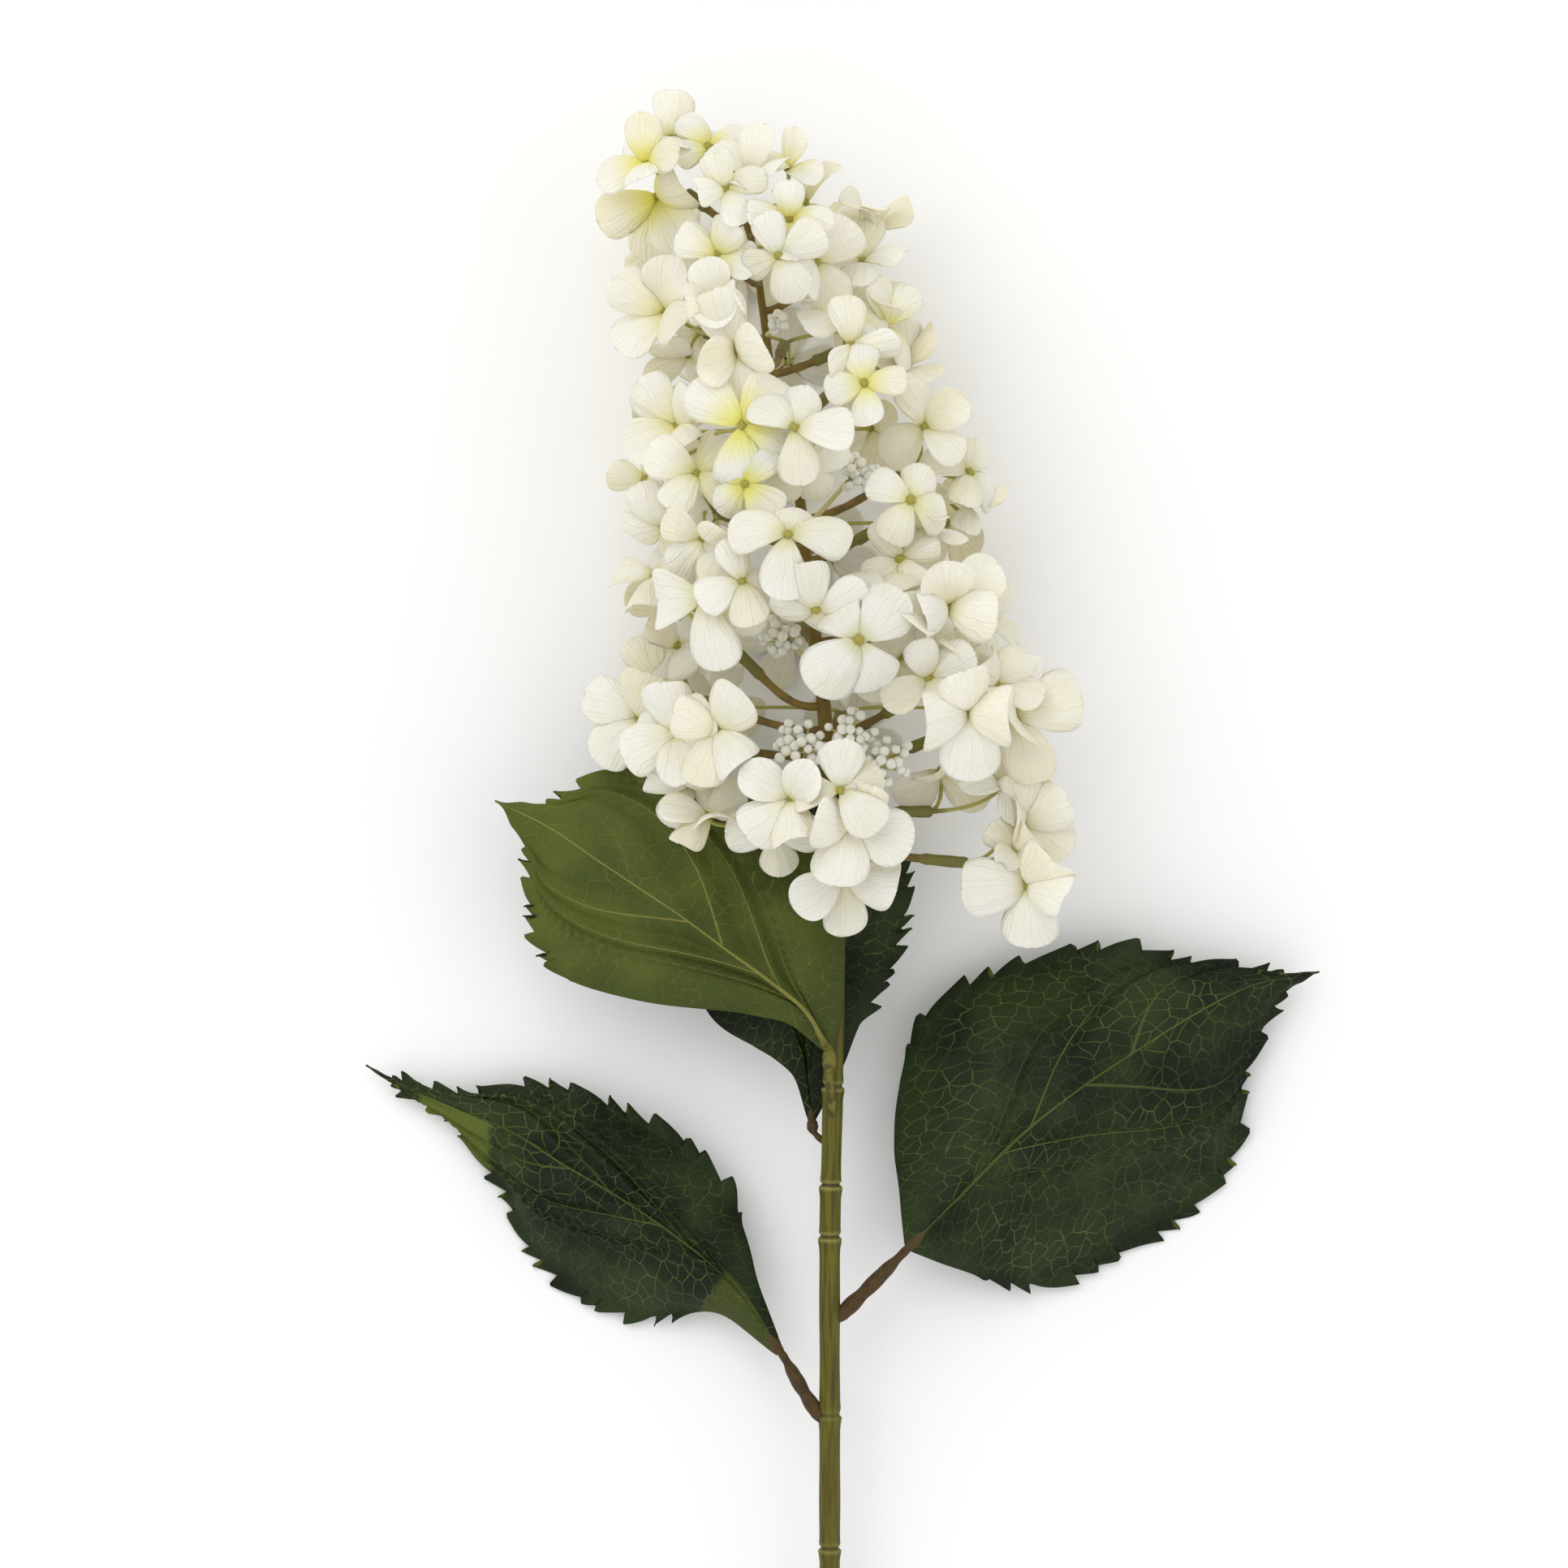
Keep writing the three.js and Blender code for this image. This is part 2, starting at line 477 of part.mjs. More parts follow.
// A four-lobed plate alone, or drawn out on its underside into its pedicel
function floretGeometry(floret, seed, extra, stalk) {
  const { middle, face, right } = floretFrame(floret);
  const { upper, lower, notches } = plateFaces(floret, seed, extra);
  const positions = [...upper, ...lower];
  const index = [];
  const rimSize = upper.length - 1;
  const under = upper.length;
  const ringSize = notches.length;
  for (let i = 0; i < rimSize; i += 1) {
    const from = 1 + i;
    const to = 1 + ((i + 1) % rimSize);
    index.push(0, from, to);
    index.push(from, from + under, to + under, from, to + under, to);
    if (!stalk) index.push(under, to + under, from + under);
  }
  if (!stalk) return geometryFrom(positions, index);

  // rings of the pedicel, the first in the floret's underside; the lower middle point is the first
  // corner of that ring
  const line = [lower[0], ...stalk.slice(1)];
  const ring = (i, k) => {
    if (i === 0 && k % ringSize === 0) return under;
    return positions.length - line.length * ringSize + 1 + i * ringSize + (k % ringSize) - 1;
  };
  let across = right;
  line.forEach((point, i) => {
    const ahead = line[Math.min(i + 1, line.length - 1)].clone().sub(line[Math.max(i - 1, 0)]).normalize();
    const back = i === 0 ? face : ahead.negate();
    across = across.clone().addScaledVector(back, -across.dot(back)).normalize();
    const other = back.clone().cross(across);
    notches.forEach((angle, k) => {
      const corner = point.clone()
        .addScaledVector(across, (PEDICEL_RADIUS + extra) * Math.cos(angle))
        .addScaledVector(other, (PEDICEL_RADIUS + extra) * Math.sin(angle));
      if (i === 0 && k === 0) positions[under] = corner;
      else positions.push(corner);
    });
  });
  const petalRim = rimSize / ringSize;
  for (let k = 0; k < ringSize; k += 1) {
    const before = ring(0, k + ringSize - 1);
    const start = 1 + under + ((k * petalRim + rimSize - 1) % rimSize);
    for (let i = 0; i < petalRim; i += 1) {
      const from = i === 0 ? start : under + k * petalRim + i;
      const to = under + 1 + k * petalRim + i;
      index.push(before, to, from);
    }
    index.push(before, ring(0, k), under + (k + 1) * petalRim);
    for (let i = 0; i + 1 < line.length; i += 1) {
      index.push(ring(i, k), ring(i + 1, k), ring(i + 1, k + 1));
      index.push(ring(i, k), ring(i + 1, k + 1), ring(i, k + 1));
    }
  }
  const end = line.length - 1;
  for (let k = 1; k + 1 < ringSize; k += 1) index.push(ring(end, 0), ring(end, k + 1), ring(end, k));
  return geometryFrom(positions, index);
}

// How far the handles of the limbs' curves reach, as shares of the limb's length, and how deep a
// pedicel runs into its branch
const PEDICEL_HANDLES = [0.4, 0.35];
const BRANCH_HANDLES = [0.35, 0.3];
const PEDICEL_DEPTH = 1.5;

// The pedicel runs from behind the floret and swings in to the fork
function pedicelPoints(branch, floret, outward) {
  const { middle, face } = floretFrame(floret);
  const fork = vector(branch.fork);
  const reach = fork.distanceTo(middle);
  return bezierPoints([
    middle,
    middle.clone().addScaledVector(face, -PEDICEL_HANDLES[0] * reach),
    fork.clone().addScaledVector(outward, PEDICEL_HANDLES[1] * reach),
    fork.clone().addScaledVector(outward, -PEDICEL_DEPTH),
  ], 3);
}

// The branch leaves the axis square to it, then swings up to the fork
function branchPoints(branch) {
  const root = stemAt(branch.root);
  const fork = vector(branch.fork);
  const away = fork.clone().sub(root.point);
  const radial = away.clone().addScaledVector(root.along, -away.dot(root.along)).normalize();
  const start = root.point.clone().addScaledVector(radial, root.radius + CLEARANCE);
  const length = start.distanceTo(fork);
  const outward = away.normalize();
  const ends = [
    start,
    start.clone().addScaledVector(radial, BRANCH_HANDLES[0] * length),
    fork.clone().addScaledVector(outward, -BRANCH_HANDLES[1] * length),
    fork,
  ];
  return { points: bezierPoints(ends, 4), outward };
}

function unionOf(solids) {
  return wasm.Manifold.union(solids);
}

// A branch with its florets in one solid, and what others need of it to keep clear
function branchSolids(branch, number) {
  const { points, outward } = branchPoints(branch);
  const radii = [BRANCH_RADIUS, BRANCH_RADIUS, BRANCH_RADIUS, SLEEVE_RADIUS, SLEEVE_END_RADIUS];
  const stalks = branch.florets.map((floret) => pedicelPoints(branch, floret, outward));
  const seeds = branch.florets.map((floret, k) => number * 10 + k);
  const limb = (extra) => toSolid(sweptTube(points, radii.map((radius) => radius + extra), BRANCH_SIDES));
  const wrap = 1 / Math.cos(Math.PI / GUARD_SIDES);
  const tubes = (extra) => unionOf([limb(extra), ...stalks.map((stalk) => toSolid(sweptTube(
    stalk,
    stalk.map(() => (PEDICEL_RADIUS + extra) * wrap),
    GUARD_SIDES,
  )))]);
  return {
    whole: unionOf([limb(0), ...branch.florets.map((floret, k) => toSolid(
      floretGeometry(floret, seeds[k], 0, stalks[k]),
    ))]),
    guard: tubes(GUARD_MARGIN),
    grownTubes: tubes(CLEARANCE),
    grownPlates: unionOf(branch.florets.map((floret, k) => toSolid(
      floretGeometry(floret, seeds[k], CLEARANCE),
    ))),
  };
}

// Florets of the underside: rows of three, pressed down towards the surface
function backBranches() {
  const branches = [];
  for (let row = 0; row < BACK.rows; row += 1) {
    const y = BACK.firstY - BACK.stepY * row;
    const axis = stemAt(y + BACK.rootStep);
    const half = lookUp(HEAD_HALF_WIDTH, y);
    const side = row % 2 ? 1 : -1;
    const lowest = row % 2 ? FLOOR_REST : BACK.raisedZ;
    const florets = BACK.shares.map((share, k) => {
      const low = share === 0;
      const step = (low ? BACK.middleStep : BACK.sideStep) + BACK.scatter * (draw(row, k + 20) - 0.5);
      const z = low ? lowest : BACK.sideZ + BACK.scatter * draw(row, k + 30);
      return {
        at: [axis.point.x + half * (share + BACK.shift * side), y + step, z],
        tilt: low ? [0, 0] : [BACK.sideTilt * Math.sign(share), BACK.tipTilt],
        faceDown: true,
        pressed: low,
        turn: 90 * draw(row, k + 40),
        span: BACK.span,
      };
    });
    const fork = [axis.point.x + BACK.forkShift * side, y, BACK.forkZ];
    branches.push({ root: y + BACK.rootStep, fork, florets });
  }
  return branches;
}

// How a tuft's beads lie on their shallow dome, as shares of the tuft's radius
const TUFT_HUB_DEPTH = 0.8;
const TUFT_DOME = [0.35, 0.6];
const TUFT_SCATTER = 2;
const BEAD_NECK = 1.4; // radius of a stalk under its bead, by the stalk's own
const BEAD_TIP_RADIUS = 0.5;
const TUFT_ROOT_GAP = 1.6 * CLEARANCE;

// A tuft of buds: a thin branchlet that ends in stalks, each with a faceted bead
function budSolid(tuft, number) {
  const root = stemAt(tuft.root);
  const middle = vector(tuft.at);
  const away = middle.clone().sub(root.point);
  const radial = away.clone().addScaledVector(root.along, -away.dot(root.along)).normalize();
  const start = root.point.clone().addScaledVector(radial, root.radius + TUFT_ROOT_GAP);
  const outward = away.normalize();
  const hub = middle.clone().addScaledVector(outward, -tuft.radius * TUFT_HUB_DEPTH);
  const knob = new THREE.OctahedronGeometry(BUD_HUB_RADIUS, 0);
  knob.translate(hub.x, hub.y, hub.z);
  knob.deleteAttribute('normal');
  knob.deleteAttribute('uv');
  const foot = sweptTube([start, hub], [BRANCH_FOOT_RADIUS, BRANCH_FOOT_RADIUS], BRANCH_SIDES);
  const parts = [toSolid(foot), toSolid(knob)];
  for (let k = 0; k < tuft.beads; k += 1) {
    const share = (k + 0.5) / tuft.beads;
    const lean = Math.sqrt(share) * tuft.radius;
    const turn = k * GOLDEN_ANGLE + number;
    const bead = new THREE.Vector3(
      middle.x + lean * Math.cos(turn),
      middle.y + lean * Math.sin(turn),
      middle.z + tuft.radius * (TUFT_DOME[0] - TUFT_DOME[1] * share)
        + TUFT_SCATTER * (draw(number * 20 + k, 1) - 0.5),
    );
    const along = bead.clone().sub(hub).normalize();
    const stations = [-BEAD_RADIUS, 0, BEAD_RADIUS].map((step) => bead.clone().addScaledVector(along, step));
    const radii = [BEAD_STALK_RADIUS, BEAD_STALK_RADIUS * BEAD_NECK, BEAD_RADIUS, BEAD_TIP_RADIUS];
    parts.push(toSolid(sweptTube([hub, ...stations], radii, BRANCH_SIDES)));
  }
  return unionOf(parts);
}

// Point of a leaf at a share along it and a share across it, from -1 at the left margin to 1
function leafPoint(leaf, along, across) {
  const middle = leaf.middleLine.getPoint(along);
  const margin = (across < 0 ? leaf.leftLine : leaf.rightLine).getPoint(along);
  const reach = Math.abs(across);
  const point = middle.clone().lerp(margin, reach);
  point.z += leaf.crown * middle.distanceTo(margin) * 4 * reach * (1 - reach);
  return point;
}

// Saw teeth that lean towards the tip of the leaf
function toothedLeafRows(leaf) {
  const rows = [];
  for (let tooth = 0; tooth < LEAF_TEETH; tooth += 1) {
    [0, TOOTH_PEAK].forEach((phase) => rows.push({ along: (tooth + phase) / LEAF_TEETH, peak: phase > 0 }));
  }
  rows.push({ along: 1, peak: false });
  return rows.map(({ along, peak }) => [-1, -0.5, 0, 0.5, 1].map((across) => {
    const point = leafPoint(leaf, along, across);
    const from = leaf.toothFrom[across < 0 ? 0 : 1];
    if (Math.abs(across) === 1 && peak && along > from && along < LAST_TOOTH) {
      const inner = leafPoint(leaf, along, across * 0.5);
      const outward = point.clone().sub(inner).normalize();
      const forward = leafPoint(leaf, Math.min(along + 0.02, 1), across).sub(point).normalize();
      point.addScaledVector(outward, TOOTH_REACH).addScaledVector(forward, TOOTH_LEAN * TOOTH_REACH);
    }
    point.z = Math.max(point.z, LEAF_THICK / 2);
    return point;
  }));
}

// A thin curved blade from rows of points, split alike on both faces
function bladeGeometry(rows, thick) {
  const across = rows[0].length;
  const upper = [];
  const lower = [];
  rows.forEach((row, i) => row.forEach((point, j) => {
    const before = rows[Math.max(i - 1, 0)][j];
    const after = rows[Math.min(i + 1, rows.length - 1)][j];
    const leftPoint = row[Math.max(j - 1, 0)];
    const rightPoint = row[Math.min(j + 1, across - 1)];
    const up = rightPoint.clone().sub(leftPoint).cross(after.clone().sub(before)).normalize();
    upper.push(point.clone().addScaledVector(up, thick / 2));
    lower.push(point.clone().addScaledVector(up, -thick / 2));
  }));
  const count = upper.length;
  const index = [];
  const quad = (a, b, c, d) => index.push(a, b, c, a, c, d);
  for (let i = 0; i + 1 < rows.length; i += 1) {
    for (let j = 0; j + 1 < across; j += 1) {
      const a = i * across + j;
      const b = a + 1;
      const c = b + across;
      const d = a + across;
      quad(a, b, c, d);
      index.push(a + count, c + count, b + count, a + count, d + count, c + count);
    }
    const left = i * across;
    const right = left + across - 1;
    quad(left, left + across, left + across + count, left + count);
    quad(right, right + count, right + across + count, right + across);
  }
  for (let j = 0; j + 1 < across; j += 1) {
    const start = j;
    const end = (rows.length - 1) * across + j;
    quad(start, start + count, start + 1 + count, start + 1);
    quad(end, end + 1, end + 1 + count, end + count);
  }
  return geometryFrom([...upper, ...lower], index);
}

function leafSolid(leaf, extra) {
  const dressed = {
    ...leaf,
    middleLine: smoothLine(leaf.middle),
    leftLine: smoothLine(leaf.left),
    rightLine: smoothLine(leaf.right),
  };
  const blade = toSolid(bladeGeometry(toothedLeafRows(dressed), LEAF_THICK + 2 * extra));
  const into = dressed.middleLine.getPoint(PETIOLE_OVERLAP).toArray();
  const petiole = smoothLine([...leaf.petiole, leaf.middle[0], into]).getPoints(5);
  const [rootRadius, tipRadius] = leaf.petioleRadius;
  const radii = petiole.map((point, i) => THREE.MathUtils.lerp(rootRadius, tipRadius, i / 5) + extra);
  return unionOf([blade, toSolid(sweptTube(petiole, radii, 5))]);
}

// The largest body of a solid; scraps cut loose are dropped
function largestBody(solid) {
  const bodies = solid.decompose();
  return bodies.reduce((best, body) => (body.volume() > best.volume() ? body : best));
}

function addNode(group, name, solid, colour, roughness) {
  const material = new THREE.MeshStandardMaterial({ color: colour, roughness, metalness: 0 });
  const mesh = new THREE.Mesh(toGeometry(solid), material);
  mesh.name = name;
  group.add(mesh);
}

function makeSpray() {
  const group = new THREE.Group();
  addNode(group, 'stem', toSolid(stemGeometry(0)), COLOURS.stem, 0.55);

  LEAVES.forEach((leaf) => addNode(group, leaf.name, leafSolid(leaf, 0), leaf.colour, 0.5));

  const tufts = BUD_TUFTS.map((tuft, number) => budSolid(tuft, number));
  const branches = [...FRONT_BRANCHES, ...backBranches()].map(branchSolids);
  const keepClear = [
    toSolid(stemGeometry(CLEARANCE)),
    ...LEAVES.map((leaf) => leafSolid(leaf, CLEARANCE)),
    ...tufts,
  ];
  let taken = unionOf(keepClear);
  branches.forEach((branch, k) => {
    const otherTubes = branches.filter((other) => other !== branch).map((other) => other.grownTubes);
    const cutter = unionOf([taken, ...otherTubes]).subtract(branch.guard);
    const whole = largestBody(branch.whole.subtract(cutter));
    taken = unionOf([taken, branch.grownPlates]);
    addNode(group, `flower_branch_${String(k + 1).padStart(2, '0')}`, whole, COLOURS.petal, 0.75);
  });
  tufts.forEach((tuft, k) => addNode(group, `bud_tuft_${k + 1}`, tuft, COLOURS.bud, 0.4));
  return group;
}

export default makeSpray();
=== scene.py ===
import logging
import math
from dataclasses import dataclass, field
from enum import Enum

import bpy
import numpy as np
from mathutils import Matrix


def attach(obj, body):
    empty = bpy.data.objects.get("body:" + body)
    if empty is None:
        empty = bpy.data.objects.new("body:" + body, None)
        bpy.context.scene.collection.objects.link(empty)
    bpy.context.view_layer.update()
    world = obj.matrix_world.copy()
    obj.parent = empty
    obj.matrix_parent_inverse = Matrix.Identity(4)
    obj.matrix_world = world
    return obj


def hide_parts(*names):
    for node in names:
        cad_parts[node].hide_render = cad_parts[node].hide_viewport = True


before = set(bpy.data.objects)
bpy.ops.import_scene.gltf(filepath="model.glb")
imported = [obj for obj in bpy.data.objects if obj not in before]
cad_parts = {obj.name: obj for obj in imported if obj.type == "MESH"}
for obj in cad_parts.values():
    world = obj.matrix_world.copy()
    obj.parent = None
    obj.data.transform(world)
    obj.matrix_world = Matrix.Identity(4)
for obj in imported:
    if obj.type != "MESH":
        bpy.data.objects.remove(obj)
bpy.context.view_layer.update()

LOG = logging.getLogger("hydrangea")

GOLDEN_ANGLE = math.radians(137.508)

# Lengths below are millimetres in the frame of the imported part; meshes are made in metres
METRE = 0.001

# Lengths in the UV maps of rods and leaves are measured in units of 100 mm
UV_UNIT = 100.0

# A rod's end is drawn in to this share of its radius before it is closed
TUBE_TIP = 0.02

# A node's output, and what a node's input takes: a number, a colour or such an output
Socket = bpy.types.NodeSocket
Value = float | tuple | Socket


class Kind(Enum):
    """What a stretch of a branch is, as the value that its finish reads."""

    BRANCH = 0.0
    SLEEVE = 0.5
    PEDICEL = 1.0
    NUB = 1.5


class BudKind(Enum):
    """What a stretch of a bud tuft is, as the value that its finish reads."""

    BEAD = 0.0
    THREAD = 0.8
    STALK = 1.0


class Side(Enum):
    """Which face of a leaf is turned up, away from the surface."""

    TOP = 0.0
    UNDER = 1.0


def draws(index: int, first: int, count: int) -> np.ndarray:
    """Give several repeatable draws: the part after the point of a large sine.

    Args:
        index: Whole number of the thing that is drawn for.
        first: Channel of the first draw.
        count: How many draws.

    Returns:
        Array of values between 0 and 1.
    """
    wave = np.sin(index * 127.1 + (first + np.arange(count)) * 311.7 + 74.7) * 43758.5453
    return wave - np.floor(wave)


def draw(index: int, channel: int) -> float:
    """Give one repeatable draw between 0 and 1."""
    return float(draws(index, channel, 1)[0])


def unit(vectors: np.ndarray) -> np.ndarray:
    """Scale vectors along the last axis to length 1.

    Args:
        vectors: Array whose last axis holds x, y and z.

    Returns:
        Array of the same shape.
    """
    length = np.linalg.norm(vectors, axis=-1, keepdims=True)
    return vectors / np.maximum(length, 1e-9)


def smooth_line(points: list, shares: np.ndarray) -> np.ndarray:
    """Place points on the curve that passes evenly through given points.

    Each span is a cubic whose slope at a point is half the step between its neighbours.

    Args:
        points: Places that the curve passes through.
        shares: Shares of the way from the first to the last, 0 to 1.

    Returns:
        Array of one place for each share.
    """
    knots = np.asarray(points, dtype=float)
    padded = np.vstack([2 * knots[0] - knots[1], knots, 2 * knots[-1] - knots[-2]])
    position = np.clip(np.asarray(shares, dtype=float), 0, 1) * (len(knots) - 1)
    span = np.minimum(position.astype(int), len(knots) - 2)
    local = (position - span)[..., None]
    before, start, end, after = (padded[span + k] for k in range(4))
    slope_start = (end - before) / 2
    slope_end = (after - start) / 2
    cubic = 2 * start - 2 * end + slope_start + slope_end
    square = -3 * start + 3 * end - 2 * slope_start - slope_end
    return ((cubic * local + square) * local + slope_start) * local + start


def bezier(ends: list, shares: np.ndarray) -> np.ndarray:
    """Place points on a cubic Bezier curve.

    Args:
        ends: Start, two handles and end.
        shares: Shares along the curve, 0 to 1.

    Returns:
        Array of one place for each share.
    """
    start, first, second, end = (np.asarray(point, dtype=float) for point in ends)
    t = np.asarray(shares, dtype=float)[:, None]
    return (1 - t) ** 3 * start + 3 * (1 - t) ** 2 * t * first + 3 * (1 - t) * t * t * second + t**3 * end


def smooth_step(low: float, high: float, value: np.ndarray) -> np.ndarray:
    """Rise from 0 at low to 1 at high with level ends.

    Args:
        low: Value where the rise starts.
        high: Value where it ends.
        value: Values to map.

    Returns:
        Array between 0 and 1.
    """
    t = np.clip((value - low) / (high - low), 0, 1)
    return t * t * (3 - 2 * t)


def bell(value: np.ndarray, middle: float, width: float) -> np.ndarray:
    """Give a bell curve: exp(-((value - middle) / width)^2).

    Args:
        value: Values to map.
        middle: Value at which the bell is 1.
        width: Distance at which it has fallen to 1/e.

    Returns:
        Array between 0 and 1.
    """
    return np.exp(-(((value - middle) / width) ** 2))


def between(value: np.ndarray, rise: tuple, fall: tuple) -> np.ndarray:
    """Rise from 0 to 1 over one stretch of the values and fall to 0 again over another.

    Args:
        value: Values to map.
        rise: Where the rise starts and ends.
        fall: Where the fall starts and ends.

    Returns:
        Array between 0 and 1.
    """
    return smooth_step(*rise, value) * (1 - smooth_step(*fall, value))


def running_length(points: np.ndarray, axis: int) -> np.ndarray:
    """Add up the steps from point to point along one axis, from 0.

    Args:
        points: Array whose last axis holds x, y and z.
        axis: Axis to walk along.

    Returns:
        Array of lengths, with the shape of the points but for the last axis.
    """
    steps = np.linalg.norm(np.diff(points, axis=axis), axis=-1)
    start = np.zeros_like(np.take(steps, [0], axis=axis))
    return np.concatenate([start, np.cumsum(steps, axis=axis)], axis=axis)


def paired(first: np.ndarray, second: np.ndarray) -> np.ndarray:
    """Spread two arrays over each other and join them as pairs along a new last axis."""
    return np.stack(np.broadcast_arrays(first, second), axis=-1)


def ball_uv(turn: np.ndarray, polar: np.ndarray) -> np.ndarray:
    """Spread a small ball's two angles over a UV map a little smaller than one unit."""
    return paired(turn / 6.3, polar / 3.2)


def add_object(name: str, data: bpy.types.ID) -> bpy.types.Object:
    """Make an object and link it to the scene.

    Args:
        name: Its name.
        data: Its mesh, light or camera.

    Returns:
        The object, at the origin.
    """
    made = bpy.data.objects.new(name, data)
    bpy.context.scene.collection.objects.link(made)
    return made


@dataclass
class Skin:
    """Points, quads, UV map and values of a mesh in the making."""

    points: list = field(default_factory=list)
    quads: list = field(default_factory=list)
    uv: list = field(default_factory=list)
    values: dict = field(default_factory=dict)
    count: int = 0

    def add_grid(self, grid: np.ndarray, uv: np.ndarray, values: dict, wrap: bool = False) -> None:
        """Add a surface given as rows and columns of points.

        The faces point to the side where the step along the columns, crossed with the step along
        the rows, points.

        Args:
            grid: Array of rows x columns x 3.
            uv: Array of rows x columns x 2.
            values: Name and rows x columns array, or one number, of each value.
            wrap: Whether the last column joins the first.
        """
        rows, columns = grid.shape[:2]
        index = self.count + np.arange(rows * columns).reshape(rows, columns)
        ahead = np.roll(index, -1, axis=1) if wrap else index[:, 1:]
        here = index if wrap else index[:, :-1]
        quads = np.stack([here[:-1], ahead[:-1], ahead[1:], here[1:]], axis=-1).reshape(-1, 4)
        self._keep(grid.reshape(-1, 3), quads, uv.reshape(-1, 2), values, rows * columns)

    def add_shell(self, grid: np.ndarray, thick: float, uv: np.ndarray, upper: dict, lower: dict) -> None:
        """Add a thin closed sheet round a surface of points.

        Both faces are the surface moved half the thickness along its normal, and strips of quads
        join them round the rim.

        Args:
            grid: Array of rows x columns x 3, the middle of the sheet.
            thick: Thickness of the sheet.
            uv: Array of rows x columns x 2.
            upper: Values of the face on the normal's side.
            lower: Values of the other face.
        """
        rows, columns = grid.shape[:2]
        normal = unit(np.cross(np.gradient(grid, axis=1), np.gradient(grid, axis=0)))
        start = self.count
        index = start + np.arange(rows * columns).reshape(rows, columns)
        rim = np.concatenate([index[0, :], index[1:, -1], index[-1, -2::-1], index[-2:0:-1, 0]])
        self.add_grid(grid + normal * thick / 2, uv, upper)
        other = self.count
        self.add_grid(grid - normal * thick / 2, uv, lower)
        self.quads[-1] = self.quads[-1][:, ::-1]
        twin = rim - start + other
        ring = np.stack([rim, twin, np.roll(twin, -1), np.roll(rim, -1)], axis=-1)
        self.quads.append(ring)

    def add_tube(self, line: np.ndarray, radii: np.ndarray, sides: int, values: dict) -> None:
        """Add a round rod along a line, closed at both ends.

        Args:
            line: Array of places along the middle of the rod.
            radii: Radius at each place.
            sides: Number of sides.
            values: Name and number, or array of one number for each place, of each value.
        """
        along = unit(np.gradient(line, axis=0))
        mean = np.abs(along.sum(axis=0))
        reference = np.eye(3)[int(np.argmin(mean))]
        across = unit(np.cross(along, reference))
        other = np.cross(along, across)
        line = np.vstack([line[:1], line, line[-1:]])
        along_rows = np.vstack([across[:1], across, across[-1:]])
        other_rows = np.vstack([other[:1], other, other[-1:]])
        radius = np.concatenate([radii[:1] * TUBE_TIP, radii, radii[-1:] * TUBE_TIP])
        angle = np.linspace(0, 2 * math.pi, sides, endpoint=False)
        cosine = np.cos(angle)[None, :, None]
        sine = np.sin(angle)[None, :, None]
        ring = along_rows[:, None] * cosine + other_rows[:, None] * sine
        grid = line[:, None] + ring * radius[:, None, None]
        uv = paired(angle[None] / (2 * math.pi), running_length(line, 0)[:, None] / UV_UNIT)
        spread = {}
        for name, value in values.items():
            column = np.broadcast_to(np.asarray(value, dtype=float), radii.shape)
            spread[name] = np.concatenate([column[:1], column, column[-1:]])[:, None]
        self.add_grid(grid, uv, spread, wrap=True)
        rows = len(line)
        first = self.count - rows * sides + np.arange(sides)
        last = self.count - sides + np.arange(sides)
        self._close(first[::-1])
        self._close(last)

    def _close(self, ring: np.ndarray) -> None:
        """Close a small ring with quads between its two halves.

        Args:
            ring: Numbers of the ring's points, in order; there is an even number of them.
        """
        half = len(ring) // 2
        left = ring[:half]
        right = ring[::-1][:half]
        self.quads.append(np.stack([left[:-1], left[1:], right[1:], right[:-1]], axis=-1))

    def _keep(self, points: np.ndarray, quads: np.ndarray, uv: np.ndarray, values: dict, size: int) -> None:
        """Store one block of points.

        A value that a block doesn't name is 0 on that block's points.

        Args:
            points: Places of the points.
            quads: Numbers of each quad's four points.
            uv: UV place of each point.
            values: Name and number, or array of numbers, of each value.
            size: Number of points.
        """
        self.points.append(points)
        self.quads.append(quads)
        self.uv.append(uv)
        for name in sorted(set(values) | set(self.values)):
            stored = self.values.setdefault(name, [np.zeros(self.count)] if self.count else [])
            value = np.asarray(values.get(name, 0.0), dtype=float)
            if value.ndim == 2 and value.size != size:
                value = np.broadcast_to(value, (value.shape[0], size // value.shape[0]))
            stored.append(np.broadcast_to(value.reshape(-1) if value.ndim else value, (size,)))
        self.count += size

    def build(self, name: str, material: bpy.types.Material) -> bpy.types.Object:
        """Make the Blender object.

        Args:
            name: Name of the object.
            material: Its finish.

        Returns:
            The object, at the origin.
        """
        points = np.concatenate(self.points) * METRE
        quads = np.concatenate(self.quads).astype(np.int32)
        uv = np.concatenate(self.uv)
        mesh = bpy.data.meshes.new(name)
        mesh.vertices.add(len(points))
        mesh.vertices.foreach_set("co", points.astype(np.float32).ravel())
        mesh.loops.add(quads.size)
        mesh.loops.foreach_set("vertex_index", quads.ravel())
        mesh.polygons.add(len(quads))
        mesh.polygons.foreach_set("loop_start", np.arange(0, quads.size, 4, dtype=np.int32))
        mesh.polygons.foreach_set("use_smooth", np.ones(len(quads), dtype=bool))
        layer = mesh.uv_layers.new(name="uv")
        layer.data.foreach_set("uv", uv[quads.ravel()].astype(np.float32).ravel())
        for key, blocks in self.values.items():
            attribute = mesh.attributes.new(key, "FLOAT", "POINT")
            attribute.data.foreach_set("value", np.concatenate(blocks).astype(np.float32))
        mesh.update(calc_edges=True)
        mesh.validate()
        mesh.materials.append(material)
        return add_object(name, mesh)


